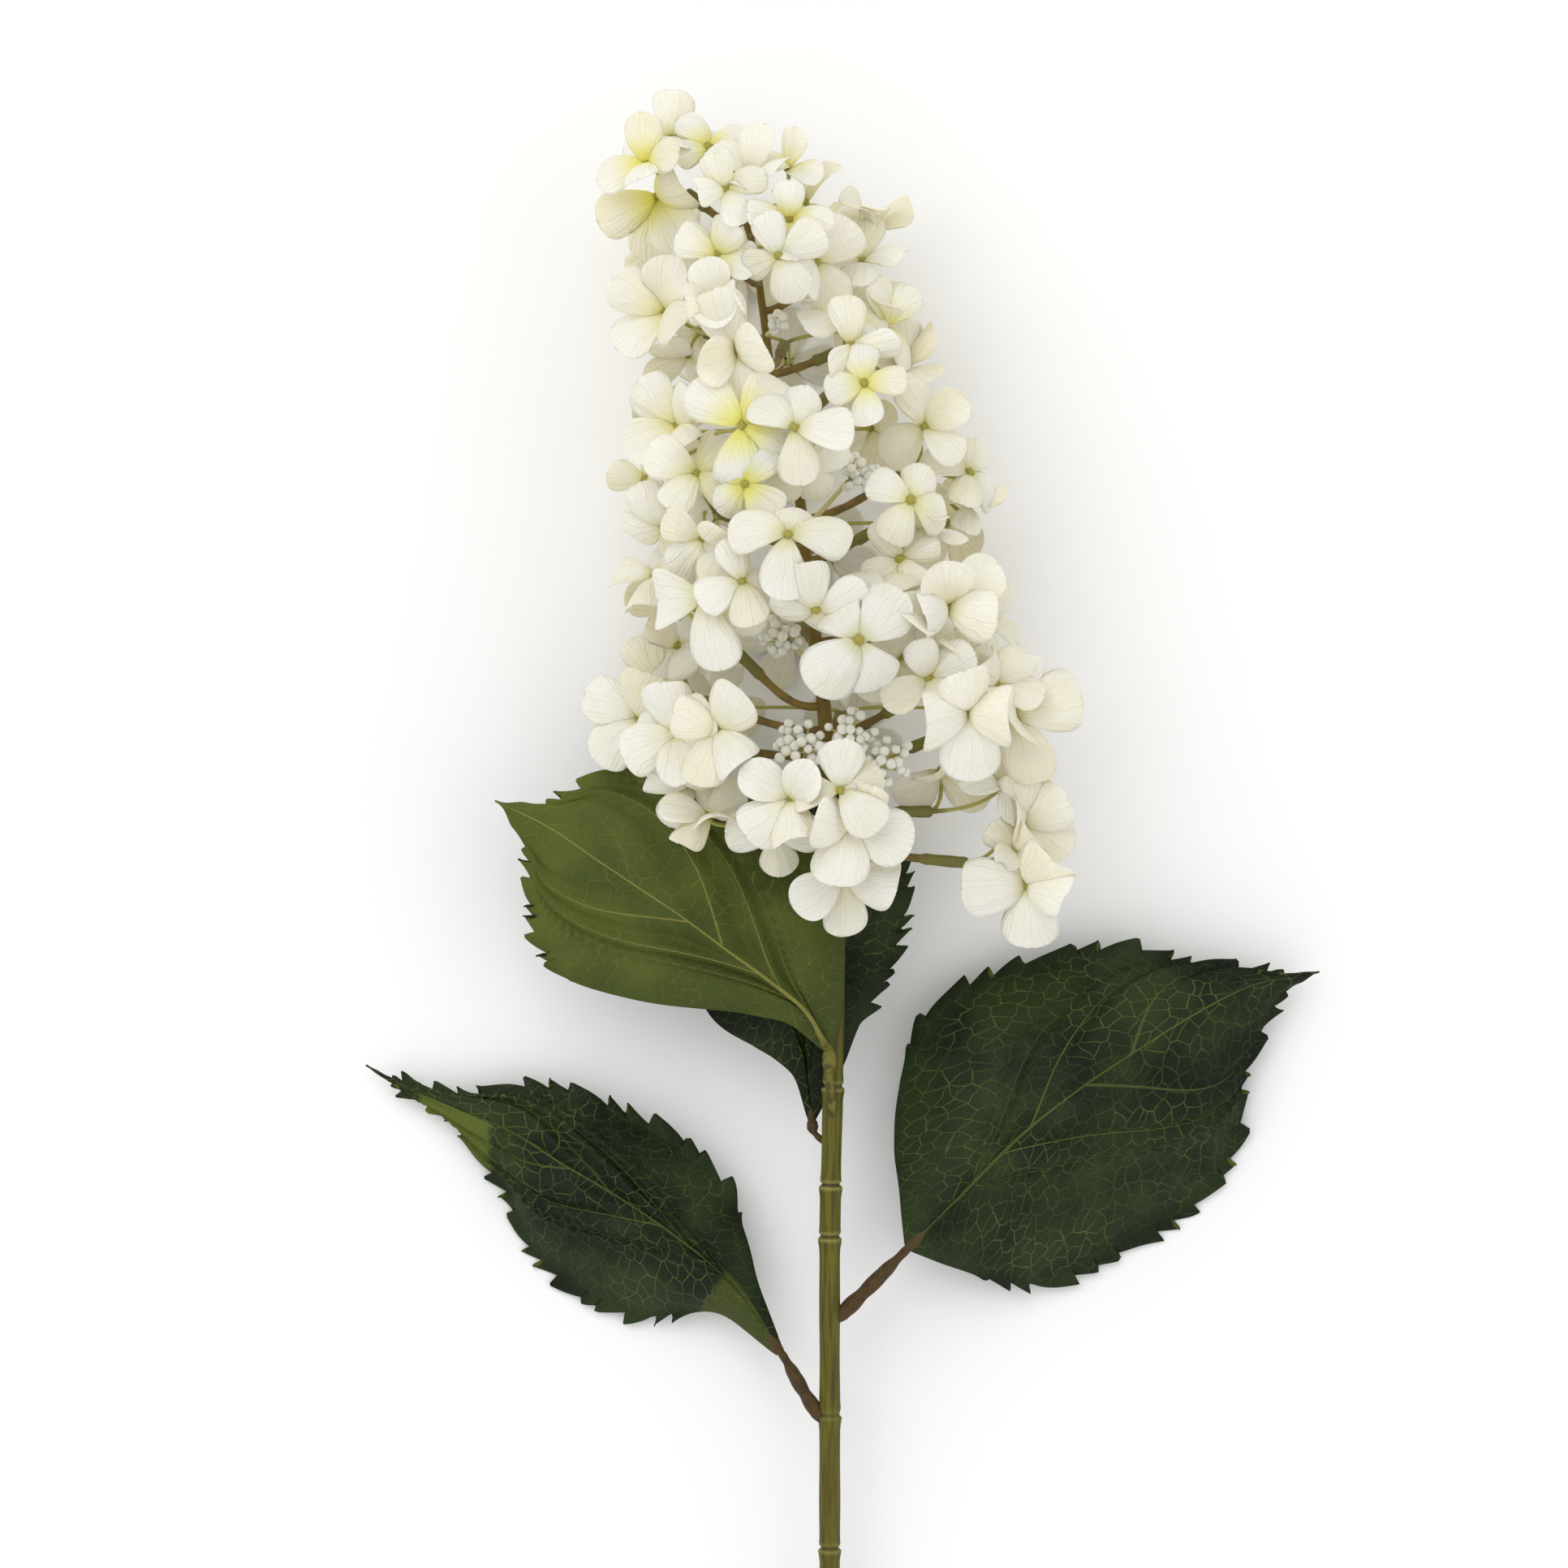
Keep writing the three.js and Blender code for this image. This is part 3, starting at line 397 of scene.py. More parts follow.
class NodeSheet:
    """A short way to lay out the nodes of a material."""

    def __init__(self, name: str) -> None:
        """Start a material with a Principled shader.

        Args:
            name: Name of the material.
        """
        self.material = bpy.data.materials.new(name)
        self.material.use_nodes = True
        self.tree = self.material.node_tree
        self.tree.nodes.clear()
        self.shader = self.tree.nodes.new("ShaderNodeBsdfPrincipled")
        out = self.tree.nodes.new("ShaderNodeOutputMaterial")
        self.tree.links.new(self.shader.outputs[0], out.inputs[0])

    def put(self, socket: Socket, value: Value) -> None:
        """Set a socket to a number or colour, or link another node's output to it.

        Args:
            socket: The input to set.
            value: What it gets.
        """
        if isinstance(value, Socket):
            self.tree.links.new(value, socket)
        else:
            socket.default_value = value

    def math(self, operation: str, *values: Value) -> Socket:
        """Add a Math node.

        Args:
            operation: Blender's name of what it does.
            *values: Its inputs, in order.

        Returns:
            Its output.
        """
        node = self.tree.nodes.new("ShaderNodeMath")
        node.operation = operation
        for socket, value in zip(node.inputs, values):
            self.put(socket, value)
        return node.outputs[0]

    def plus(self, first: Value, second: Value) -> Socket:
        """Add two values."""
        return self.math("ADD", first, second)

    def times(self, first: Value, second: Value) -> Socket:
        """Multiply two values."""
        return self.math("MULTIPLY", first, second)

    def set(self, name: str, value: Value) -> None:
        """Set one of the shader's inputs, by its name."""
        self.put(self.shader.inputs[name], value)

    def attribute(self, name: str) -> Socket:
        """Read a value that the mesh stores for each point.

        Args:
            name: Name of the value.

        Returns:
            The value.
        """
        node = self.tree.nodes.new("ShaderNodeAttribute")
        node.attribute_name = name
        return node.outputs["Fac"]

    def place(self) -> Socket:
        """Give the point's place in the object."""
        return self.tree.nodes.new("ShaderNodeTexCoord").outputs["Object"]

    def uv(self) -> tuple:
        """Read the piece's own UV map.

        Returns:
            Its two numbers.
        """
        node = self.tree.nodes.new("ShaderNodeUVMap")
        node.uv_map = "uv"
        split = self.tree.nodes.new("ShaderNodeSeparateXYZ")
        self.tree.links.new(node.outputs[0], split.inputs[0])
        return split.outputs[0], split.outputs[1]

    def vector(self, x: Value, y: Value, z: Value = 0.0) -> Socket:
        """Join three numbers in a vector.

        Args:
            x: First number.
            y: Second number.
            z: Third number.

        Returns:
            The vector.
        """
        node = self.tree.nodes.new("ShaderNodeCombineXYZ")
        for socket, value in zip(node.inputs, (x, y, z)):
            self.put(socket, value)
        return node.outputs[0]

    def noise(self, vector: Value, scale: float, detail: float = 3.0) -> Socket:
        """Add a noise pattern.

        Args:
            vector: Where the pattern is read.
            scale: Number of patterns per unit of the vector.
            detail: Number of finer layers.

        Returns:
            Its value, about 0.5 on average.
        """
        node = self.tree.nodes.new("ShaderNodeTexNoise")
        self.put(node.inputs["Vector"], vector)
        node.inputs["Scale"].default_value = scale
        node.inputs["Detail"].default_value = detail
        return node.outputs["Fac"]

    def cell_edge(self, vector: Value, scale: float) -> Socket:
        """Add a flat net of irregular cells.

        Args:
            vector: Where the net is read.
            scale: Number of cells per unit of the vector.

        Returns:
            Distance to the nearest edge of a cell.
        """
        node = self.tree.nodes.new("ShaderNodeTexVoronoi")
        node.voronoi_dimensions = "2D"
        node.feature = "DISTANCE_TO_EDGE"
        self.put(node.inputs["Vector"], vector)
        node.inputs["Scale"].default_value = scale
        return node.outputs["Distance"]

    def ramp(
        self, value: Value, low: float, high: float, first: float = 0.0, last: float = 1.0
    ) -> Socket:
        """Map a value smoothly from one range to another.

        Args:
            value: The value.
            low: Start of its range.
            high: End of its range.
            first: Result at the start.
            last: Result at the end.

        Returns:
            The result, which stays level past both ends.
        """
        node = self.tree.nodes.new("ShaderNodeMapRange")
        node.interpolation_type = "SMOOTHSTEP"
        self.put(node.inputs["Value"], value)
        for name, number in zip(("From Min", "From Max", "To Min", "To Max"), (low, high, first, last)):
            self.put(node.inputs[name], number)
        return node.outputs[0]

    def mix(self, factor: Value, first: Value, second: Value) -> Socket:
        """Mix two colours.

        The Mix node has a set of sockets for each type; 6 and 7 in and 2 out are the colours.

        Args:
            factor: Share of the second colour.
            first: First colour.
            second: Second colour.

        Returns:
            The mixed colour.
        """
        node = self.tree.nodes.new("ShaderNodeMix")
        node.data_type = "RGBA"
        self.put(node.inputs[0], factor)
        self.put(node.inputs[6], first)
        self.put(node.inputs[7], second)
        return node.outputs[2]

    def bump(self, height: Value, strength: float, distance: float) -> None:
        """Send a height to the shader's normal.

        Args:
            height: Height of the relief.
            strength: How much of it shows.
            distance: Height in metres that a value of 1 stands for.
        """
        node = self.tree.nodes.new("ShaderNodeBump")
        node.inputs["Strength"].default_value = strength
        node.inputs["Distance"].default_value = distance
        self.put(node.inputs["Height"], height)
        self.tree.links.new(node.outputs[0], self.shader.inputs["Normal"])


def colour(red: int, green: int, blue: int) -> tuple:
    """Turn a screen colour into the linear one that shaders use.

    Args:
        red: Red, 0 to 255.
        green: Green, 0 to 255.
        blue: Blue, 0 to 255.

    Returns:
        Linear red, green, blue and 1.
    """
    screen = np.array([red, green, blue]) / 255
    linear = np.where(screen <= 0.04045, screen / 12.92, ((screen + 0.055) / 1.055) ** 2.4)
    return (*linear.tolist(), 1.0)


@dataclass(frozen=True)
class PetalCloth:
    """Ivory petal cloth with a green-yellow base and fine veins that fan out from it.

    In this finish and the next ones clouds, patches, grain, weave, sway and worn are noise patterns
    per metre, if nothing else is said, and relief is a height in metres.
    """

    ivory: tuple = colour(248, 244, 228)
    cream: tuple = colour(234, 225, 192)
    yellow: tuple = colour(236, 228, 96)
    base_green: tuple = colour(204, 198, 118)
    clouds: float = 70.0
    weave: float = 1900.0
    sway: float = 180.0
    fine_veins: float = 74.0
    broad_veins: float = 23.0
    relief: float = 0.00022

    def make(self) -> bpy.types.Material:
        """Lay out the petals' material.

        Returns:
            The material.
        """
        sheet = NodeSheet("petal_cloth")
        across, along = sheet.uv()
        tint = sheet.attribute("tint")
        # Each petal's value is a random tone plus painted shade that grows on petals low in the head; with
        # the cloud it moves the colour from ivory to cream
        shade = sheet.attribute("shade")
        place = sheet.place()
        cloud = sheet.noise(place, self.clouds, 2.0)
        body = sheet.mix(sheet.ramp(sheet.plus(cloud, shade), 0.5, 1.4), self.ivory, self.cream)
        low = sheet.ramp(along, 0.0, 0.3, 1.0, 0.0)
        body = sheet.mix(sheet.times(low, 0.7), body, self.base_green)
        flush = sheet.times(tint, sheet.ramp(along, 0.02, 0.75, 1.0, 0.0))
        body = sheet.mix(sheet.times(flush, 0.9), body, self.yellow)
        fan = sheet.math("DIVIDE", sheet.math("SUBTRACT", across, 0.5), sheet.plus(along, 0.2))
        warp = sheet.times(sheet.noise(place, self.sway, 2.0), 0.22)
        spread = sheet.plus(fan, warp)
        lines = sheet.math("SINE", sheet.times(spread, self.fine_veins))
        broad = sheet.math("SINE", sheet.times(spread, self.broad_veins))
        fine = sheet.noise(place, self.weave, 2.0)
        body = sheet.mix(sheet.ramp(lines, 0.45, 1.0, 0.0, 0.3), body, self.cream)
        sheet.set("Base Color", body)
        sheet.set("Roughness", sheet.ramp(fine, 0.3, 0.7, 0.6, 0.78))
        sheet.set("Specular IOR Level", 0.22)
        sheet.set("Subsurface Weight", 0.4)
        sheet.set("Subsurface Radius", (1.0, 0.8, 0.45))
        sheet.set("Subsurface Scale", 0.003)
        height = sheet.plus(sheet.times(lines, 0.5), sheet.times(fine, 0.4))
        sheet.bump(sheet.plus(height, broad), 0.55, self.relief)
        return sheet.material


@dataclass(frozen=True)
class LimbPlastic:
    """Moulded plastic of branches, sleeves and pedicels, brown-olive to yellow-green."""

    branch: tuple = colour(134, 110, 44)
    branch_dark: tuple = colour(104, 84, 34)
    sleeve: tuple = colour(112, 110, 42)
    pedicel: tuple = colour(172, 168, 84)
    nub: tuple = colour(158, 150, 58)
    patches: float = 140.0
    grain: float = 1200.0
    relief: float = 0.0002

    def make(self) -> bpy.types.Material:
        """Lay out the limbs' material.

        Returns:
            The material.
        """
        sheet = NodeSheet("limb_plastic")
        kind = sheet.attribute("kind")
        place = sheet.place()
        patch = sheet.noise(place, self.patches)
        wood = sheet.mix(sheet.ramp(patch, 0.4, 0.65), self.branch, self.branch_dark)
        body = sheet.mix(sheet.ramp(kind, 0.1, 0.45), wood, self.sleeve)
        body = sheet.mix(sheet.ramp(kind, 0.55, 0.95), body, self.pedicel)
        body = sheet.mix(sheet.ramp(kind, 1.1, 1.4), body, self.nub)
        body = sheet.mix(sheet.ramp(patch, 0.5, 0.8, 0.0, 0.25), body, self.branch)
        sheet.set("Base Color", body)
        grain = sheet.noise(place, self.grain, 2.0)
        sheet.set("Roughness", sheet.ramp(grain, 0.3, 0.7, 0.42, 0.6))
        sheet.set("Subsurface Weight", 0.08)
        sheet.set("Subsurface Scale", 0.001)
        sheet.bump(sheet.plus(grain, patch), 0.4, self.relief)
        return sheet.material


@dataclass(frozen=True)
class StemPlastic:
    """Olive plastic of the main stem, with long faint streaks and pale edges at its joints."""

    olive: tuple = colour(98, 94, 24)
    dark: tuple = colour(68, 64, 17)
    brown: tuple = colour(92, 74, 26)
    edge: tuple = colour(150, 146, 78)
    notch: tuple = colour(44, 38, 18)
    bark: tuple = colour(124, 102, 44)
    clouds: float = 22.0
    grain: float = 900.0
    relief: float = 0.0003

    def make(self) -> bpy.types.Material:
        """Lay out the stem's material.

        Returns:
            The material.
        """
        sheet = NodeSheet("stem_plastic")
        turn, length = sheet.uv()
        place = sheet.place()
        drawn_out = sheet.vector(sheet.times(turn, 9.0), sheet.times(length, 3.2))
        streak = sheet.noise(drawn_out, 1.6, 4.0)
        body = sheet.mix(sheet.ramp(streak, 0.35, 0.7), self.olive, self.dark)
        cloud = sheet.noise(place, self.clouds)
        body = sheet.mix(sheet.ramp(cloud, 0.52, 0.78, 0.0, 0.6), body, self.brown)
        tones = (("lip", 0.75, self.edge), ("notch", 0.85, self.notch), ("head", 0.8, self.bark))
        for name, share, tone in tones:
            body = sheet.mix(sheet.times(sheet.attribute(name), share), body, tone)
        sheet.set("Base Color", body)
        grain = sheet.noise(place, self.grain)
        sheet.set("Roughness", sheet.ramp(grain, 0.3, 0.7, 0.42, 0.58))
        sheet.set("Specular IOR Level", 0.25)
        height = sheet.plus(sheet.times(streak, 0.5), sheet.times(grain, 0.3))
        sheet.bump(height, 0.35, self.relief)
        return sheet.material


@dataclass(frozen=True)
class BudPlastic:
    """Milky white, slightly glossy bud beads on cream stalks."""

    milk: tuple = colour(244, 242, 230)
    stalk: tuple = colour(206, 200, 140)
    clouds: float = 300.0
    relief: float = 0.0002

    def make(self) -> bpy.types.Material:
        """Lay out the buds' material.

        Returns:
            The material.
        """
        sheet = NodeSheet("bud_plastic")
        kind = sheet.attribute("kind")
        cloud = sheet.noise(sheet.place(), self.clouds, 2.0)
        body = sheet.mix(sheet.ramp(kind, 0.2, 0.8), self.milk, self.stalk)
        sheet.set("Base Color", body)
        sheet.set("Roughness", sheet.ramp(cloud, 0.3, 0.7, 0.22, 0.36))
        sheet.set("Subsurface Weight", 0.6)
        sheet.set("Subsurface Radius", (1.0, 0.95, 0.8))
        sheet.set("Subsurface Scale", 0.002)
        sheet.bump(cloud, 0.2, self.relief)
        return sheet.material


@dataclass(frozen=True)
class LeafCloth:
    """Printed leaf cloth: dark green above and paler below, with veins and a net of cells.

    The cells are measured in millimetres, and shake moves their edges, in units of the UV map.
    """

    top: tuple = colour(9, 20, 2)
    top_light: tuple = colour(36, 50, 18)
    top_vein: tuple = colour(94, 108, 52)
    top_rib: tuple = colour(82, 63, 35)
    bark: tuple = colour(62, 50, 34)
    under: tuple = colour(60, 70, 26)
    under_light: tuple = colour(86, 97, 36)
    under_vein: tuple = colour(148, 146, 74)
    under_rib: tuple = colour(116, 112, 50)
    cell: float = 5.4
    small_cell: float = 2.16
    shake: float = 0.022
    patches: float = 34.0
    worn: float = 260.0
    weave: float = 1500.0
    relief: float = 0.0006

    def net(self, sheet: NodeSheet, place: Value, reach: Value) -> Socket:
        """Lay out the net of fine veins, cells within cells, fainter in patches.

        Args:
            sheet: The material in the making.
            place: Place on the piece.
            reach: Share of the way from the middle vein to the margin.

        Returns:
            Strength of the net, 0 to 1.
        """
        x, y = sheet.uv()
        swayed = []
        for number, scale in ((x, 190.0), (y, 230.0)):
            moved = sheet.math("SUBTRACT", sheet.noise(place, scale, 2.0), 0.5)
            swayed.append(sheet.plus(number, sheet.times(moved, self.shake)))
        metric = sheet.vector(*swayed)
        wide = sheet.ramp(sheet.cell_edge(metric, UV_UNIT / self.cell), 0.01, 0.055, 1.0, 0.0)
        fine = sheet.ramp(sheet.cell_edge(metric, UV_UNIT / self.small_cell), 0.01, 0.09, 1.0, 0.0)
        faint = sheet.ramp(sheet.noise(place, 42.0, 2.0), 0.35, 0.62, 0.25, 1.0)
        net = sheet.math("MAXIMUM", sheet.times(wide, faint), sheet.times(fine, 0.14))
        return sheet.times(net, sheet.ramp(reach, 0.86, 1.0, 1.0, 0.2))

    def veins(self, sheet: NodeSheet, along: Value, reach: Value) -> Socket:
        """Lay out the middle vein and the side veins, which lie at whole numbers of the phase.

        Args:
            sheet: The material in the making.
            along: Share of the way from base to tip.
            reach: Share of the way from the middle vein to the margin.

        Returns:
            Strength of the veins, 0 to 1.
        """
        phase = sheet.attribute("phase")
        part = sheet.math("FRACT", sheet.plus(phase, 10.5))
        gap = sheet.math("ABSOLUTE", sheet.math("SUBTRACT", part, 0.5))
        side = sheet.ramp(gap, 0.006, 0.034, 1.0, 0.0)
        fades = ((along, 0.68, 0.82, 0.0), (phase, 4.4, 5.7, 0.1), (reach, 0.6, 0.94, 0.0))
        for value, low, high, last in fades:
            side = sheet.times(side, sheet.ramp(value, low, high, 1.0, last))
        middle = sheet.ramp(sheet.attribute("offset"), 0.2, 0.75, 1.0, 0.0)
        middle = sheet.times(middle, sheet.ramp(along, 0.9, 1.0, 1.0, 0.3))
        return sheet.math("MAXIMUM", side, middle)

    def make(self) -> bpy.types.Material:
        """Lay out the leaves' material from the shares stored along and across each blade.

        Returns:
            The material.
        """
        sheet = NodeSheet("leaf_cloth")
        along = sheet.attribute("along")
        reach = sheet.attribute("reach")
        under = sheet.attribute("under")
        place = sheet.place()
        vein = self.veins(sheet, along, reach)
        net = self.net(sheet, place, reach)
        patch = sheet.noise(place, self.patches, 2.0)
        top = sheet.mix(sheet.ramp(patch, 0.36, 0.66), self.top, self.top_light)
        drift = sheet.plus(patch, sheet.times(along, 0.45))
        below = sheet.mix(sheet.ramp(drift, 0.45, 1.05), self.under, self.under_light)
        body = sheet.mix(under, top, below)
        line = sheet.mix(under, self.top_vein, self.under_vein)
        strength = sheet.ramp(under, 0.0, 1.0, 0.66, 0.26)
        body = sheet.mix(sheet.times(net, strength), body, line)
        body = sheet.mix(sheet.times(vein, sheet.ramp(under, 0.0, 1.0, 0.78, 0.85)), body, line)
        rib = sheet.mix(under, self.top_rib, self.under_rib)
        worn = sheet.ramp(sheet.noise(place, self.worn), 0.42, 0.62, 0.0, 0.75)
        rib = sheet.mix(worn, rib, self.bark)
        body = sheet.mix(sheet.attribute("rib"), body, rib)
        sheet.set("Base Color", body)
        cloth = sheet.noise(place, self.weave, 2.0)
        gloss = sheet.ramp(under, 0.0, 1.0, 0.42, 0.58)
        rough = sheet.plus(gloss, sheet.times(cloth, 0.12))
        sheet.set("Roughness", rough)
        sheet.set("Specular IOR Level", 0.17)
        relief = sheet.plus(sheet.times(net, 0.45), vein)
        way = sheet.math("SUBTRACT", sheet.times(under, 2.2), 1.0)
        height = sheet.plus(sheet.times(relief, way), sheet.times(cloth, 0.16))
        sheet.bump(height, 0.7, self.relief)
        return sheet.material


@dataclass(frozen=True)
class PaleFloor:
    """The plain pale surface that the spray lies on."""

    white: tuple = colour(252, 252, 252)
    off_white: tuple = colour(250, 250, 250)
    half: float = 3.0
    level: float = -0.2 * METRE

    def make(self) -> None:
        """Make the floor, just under the lowest petals."""
        sheet = NodeSheet("pale_floor")
        cloud = sheet.noise(sheet.place(), 3.0, 2.0)
        sheet.set("Base Color", sheet.mix(cloud, self.white, self.off_white))
        sheet.set("Roughness", 0.9)
        mesh = bpy.data.meshes.new("floor")
        corners = [(-1, -1), (1, -1), (1, 1), (-1, 1)]
        points = [(x * self.half, y * self.half, self.level) for x, y in corners]
        mesh.from_pydata(points, [], [(0, 1, 2, 3)])
        mesh.materials.append(sheet.material)
        floor = add_object("floor", mesh)


@dataclass(frozen=True)
class StemAxis:
    """The stem's middle line, which runs on as the axis of the flower head.

    Attributes:
        line: Stations from the cut end to the head's tip, each with x, y, z and the radius.
        fine: Number of points that a place on the line is looked up in.
    """

    line: tuple = (
        (-4, -315.4, 3.6, 3.6), (-4, -245, 11.5, 3.6), (-4, -177, 19.5, 3.5), (-4, -128, 25.5, 3.5),
        (-4, -67, 32.5, 3.45), (-3, -17, 38.5, 3.4), (-2.5, 20, 43, 3.3), (-2, 48, 46, 3.1),
        (-5, 86, 49, 2.7), (-6, 109, 50, 2.4), (-11, 149, 50, 2.0), (-14, 178, 49, 1.75),
        (-19, 199, 48, 1.6), (-23, 216, 47, 1.45), (-26, 239, 46, 1.3), (-30, 264, 46, 1.2),
        (-37, 283, 47, 1.1), (-45, 295, 48, 0.9),
    )
    fine: int = 4000

    def at(self, y: float) -> tuple:
        """Find the axis at a distance along the spray.

        Args:
            y: Distance along the spray.

        Returns:
            Middle, radius and direction there.
        """
        shares = np.linspace(0, 1, self.fine)
        path = smooth_line([row[:3] for row in self.line], shares)
        index = int(np.clip(np.searchsorted(path[:, 1], y), 1, self.fine - 2))
        radius = float(np.interp(y, [row[1] for row in self.line], [row[3] for row in self.line]))
        return path[index], radius, unit(path[index + 1] - path[index - 1])


AXIS = StemAxis()


@dataclass(frozen=True)
class Stem:
    """The jointed main stem.

    Attributes:
        joints: Where its ring joints are, as y.
        lip: How far a joint's lip stands out.
        lip_length: How slowly the lip rises towards its joint.
        collar: How far the start of the next length stands out.
        groove: Depth, place past the joint and width of the groove.
        bark_from: Where the bark of the head's axis starts and where it is complete, as y.
        cut: How far the rod is drawn in at its cut end, and over which length.
        rest: Gap between the rod and the surface that it lies on.
        rings: Number of rings of points.
        sides: Points of each ring.
    """

    joints: tuple = (-268.0, -216.0, -172.0, -127.0, -67.5, -50.0, -17.0)
    lip: float = 0.55
    lip_length: float = 2.6
    collar: float = 0.2
    groove: tuple = (0.62, 0.75, 0.5)
    bark_from: tuple = (60, 110)
    cut: tuple = (0.14, 1.0)
    rest: float = 0.05
    rings: int = 900
    sides: int = 28

    def build(self, material: bpy.types.Material) -> None:
        """Make the stem: a rod whose radius steps up to a lip and back into a groove at each joint.

        The radius is the axis's own, plus a lip that rises slowly over some millimetres and drops
        at once into a groove at each joint, plus small lengthways swellings.

        Args:
            material: Its finish.
        """
        shares = np.linspace(0, 1, self.rings)
        path = smooth_line([row[:3] for row in AXIS.line], shares)
        y = path[:, 1]
        radius = np.interp(y, [row[1] for row in AXIS.line], [row[3] for row in AXIS.line])
        lips = np.zeros_like(y)
        notch = np.zeros_like(y)
        depth, place, width = self.groove
        for joint in self.joints:
            step = y - joint
            rise = self.lip * bell(step, 0, self.lip_length) * (step <= 0)
            after = self.collar * bell(step, 2 * place, 2.0) * (step > 2 * place)
            radius = radius + rise + after - depth * bell(step, place, width)
            lips = np.maximum(lips, bell(step, -0.2, 0.4) + 0.8 * bell(step, 1.9, 0.4))
            notch = np.maximum(notch, bell(step, 0.8, 0.42))
        swell = 0.07 * np.sin(y * 0.19) + 0.05 * np.sin(y * 0.083 + 1.0)
        head = smooth_step(*self.bark_from, y)
        drawn_in, cut_length = self.cut
        end = smooth_step(y[0], y[0] + cut_length, y)
        radius = (radius + swell * (1 - head)) * (1 - drawn_in + drawn_in * end)
        path[:, 2] = np.maximum(path[:, 2], radius + self.rest)
        skin = Skin()
        skin.add_tube(path, radius, self.sides, {"lip": lips, "notch": notch, "head": head})
        piece = skin.build("stem_rod", material)
        finish_piece(piece, "stem")


def finish_piece(piece: bpy.types.Object, node: str) -> None:
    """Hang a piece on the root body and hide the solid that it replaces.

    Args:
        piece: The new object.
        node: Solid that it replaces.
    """
    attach(piece, "root")
    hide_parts(node)
    LOG.info("%s: %d faces", piece.name, len(piece.data.polygons))


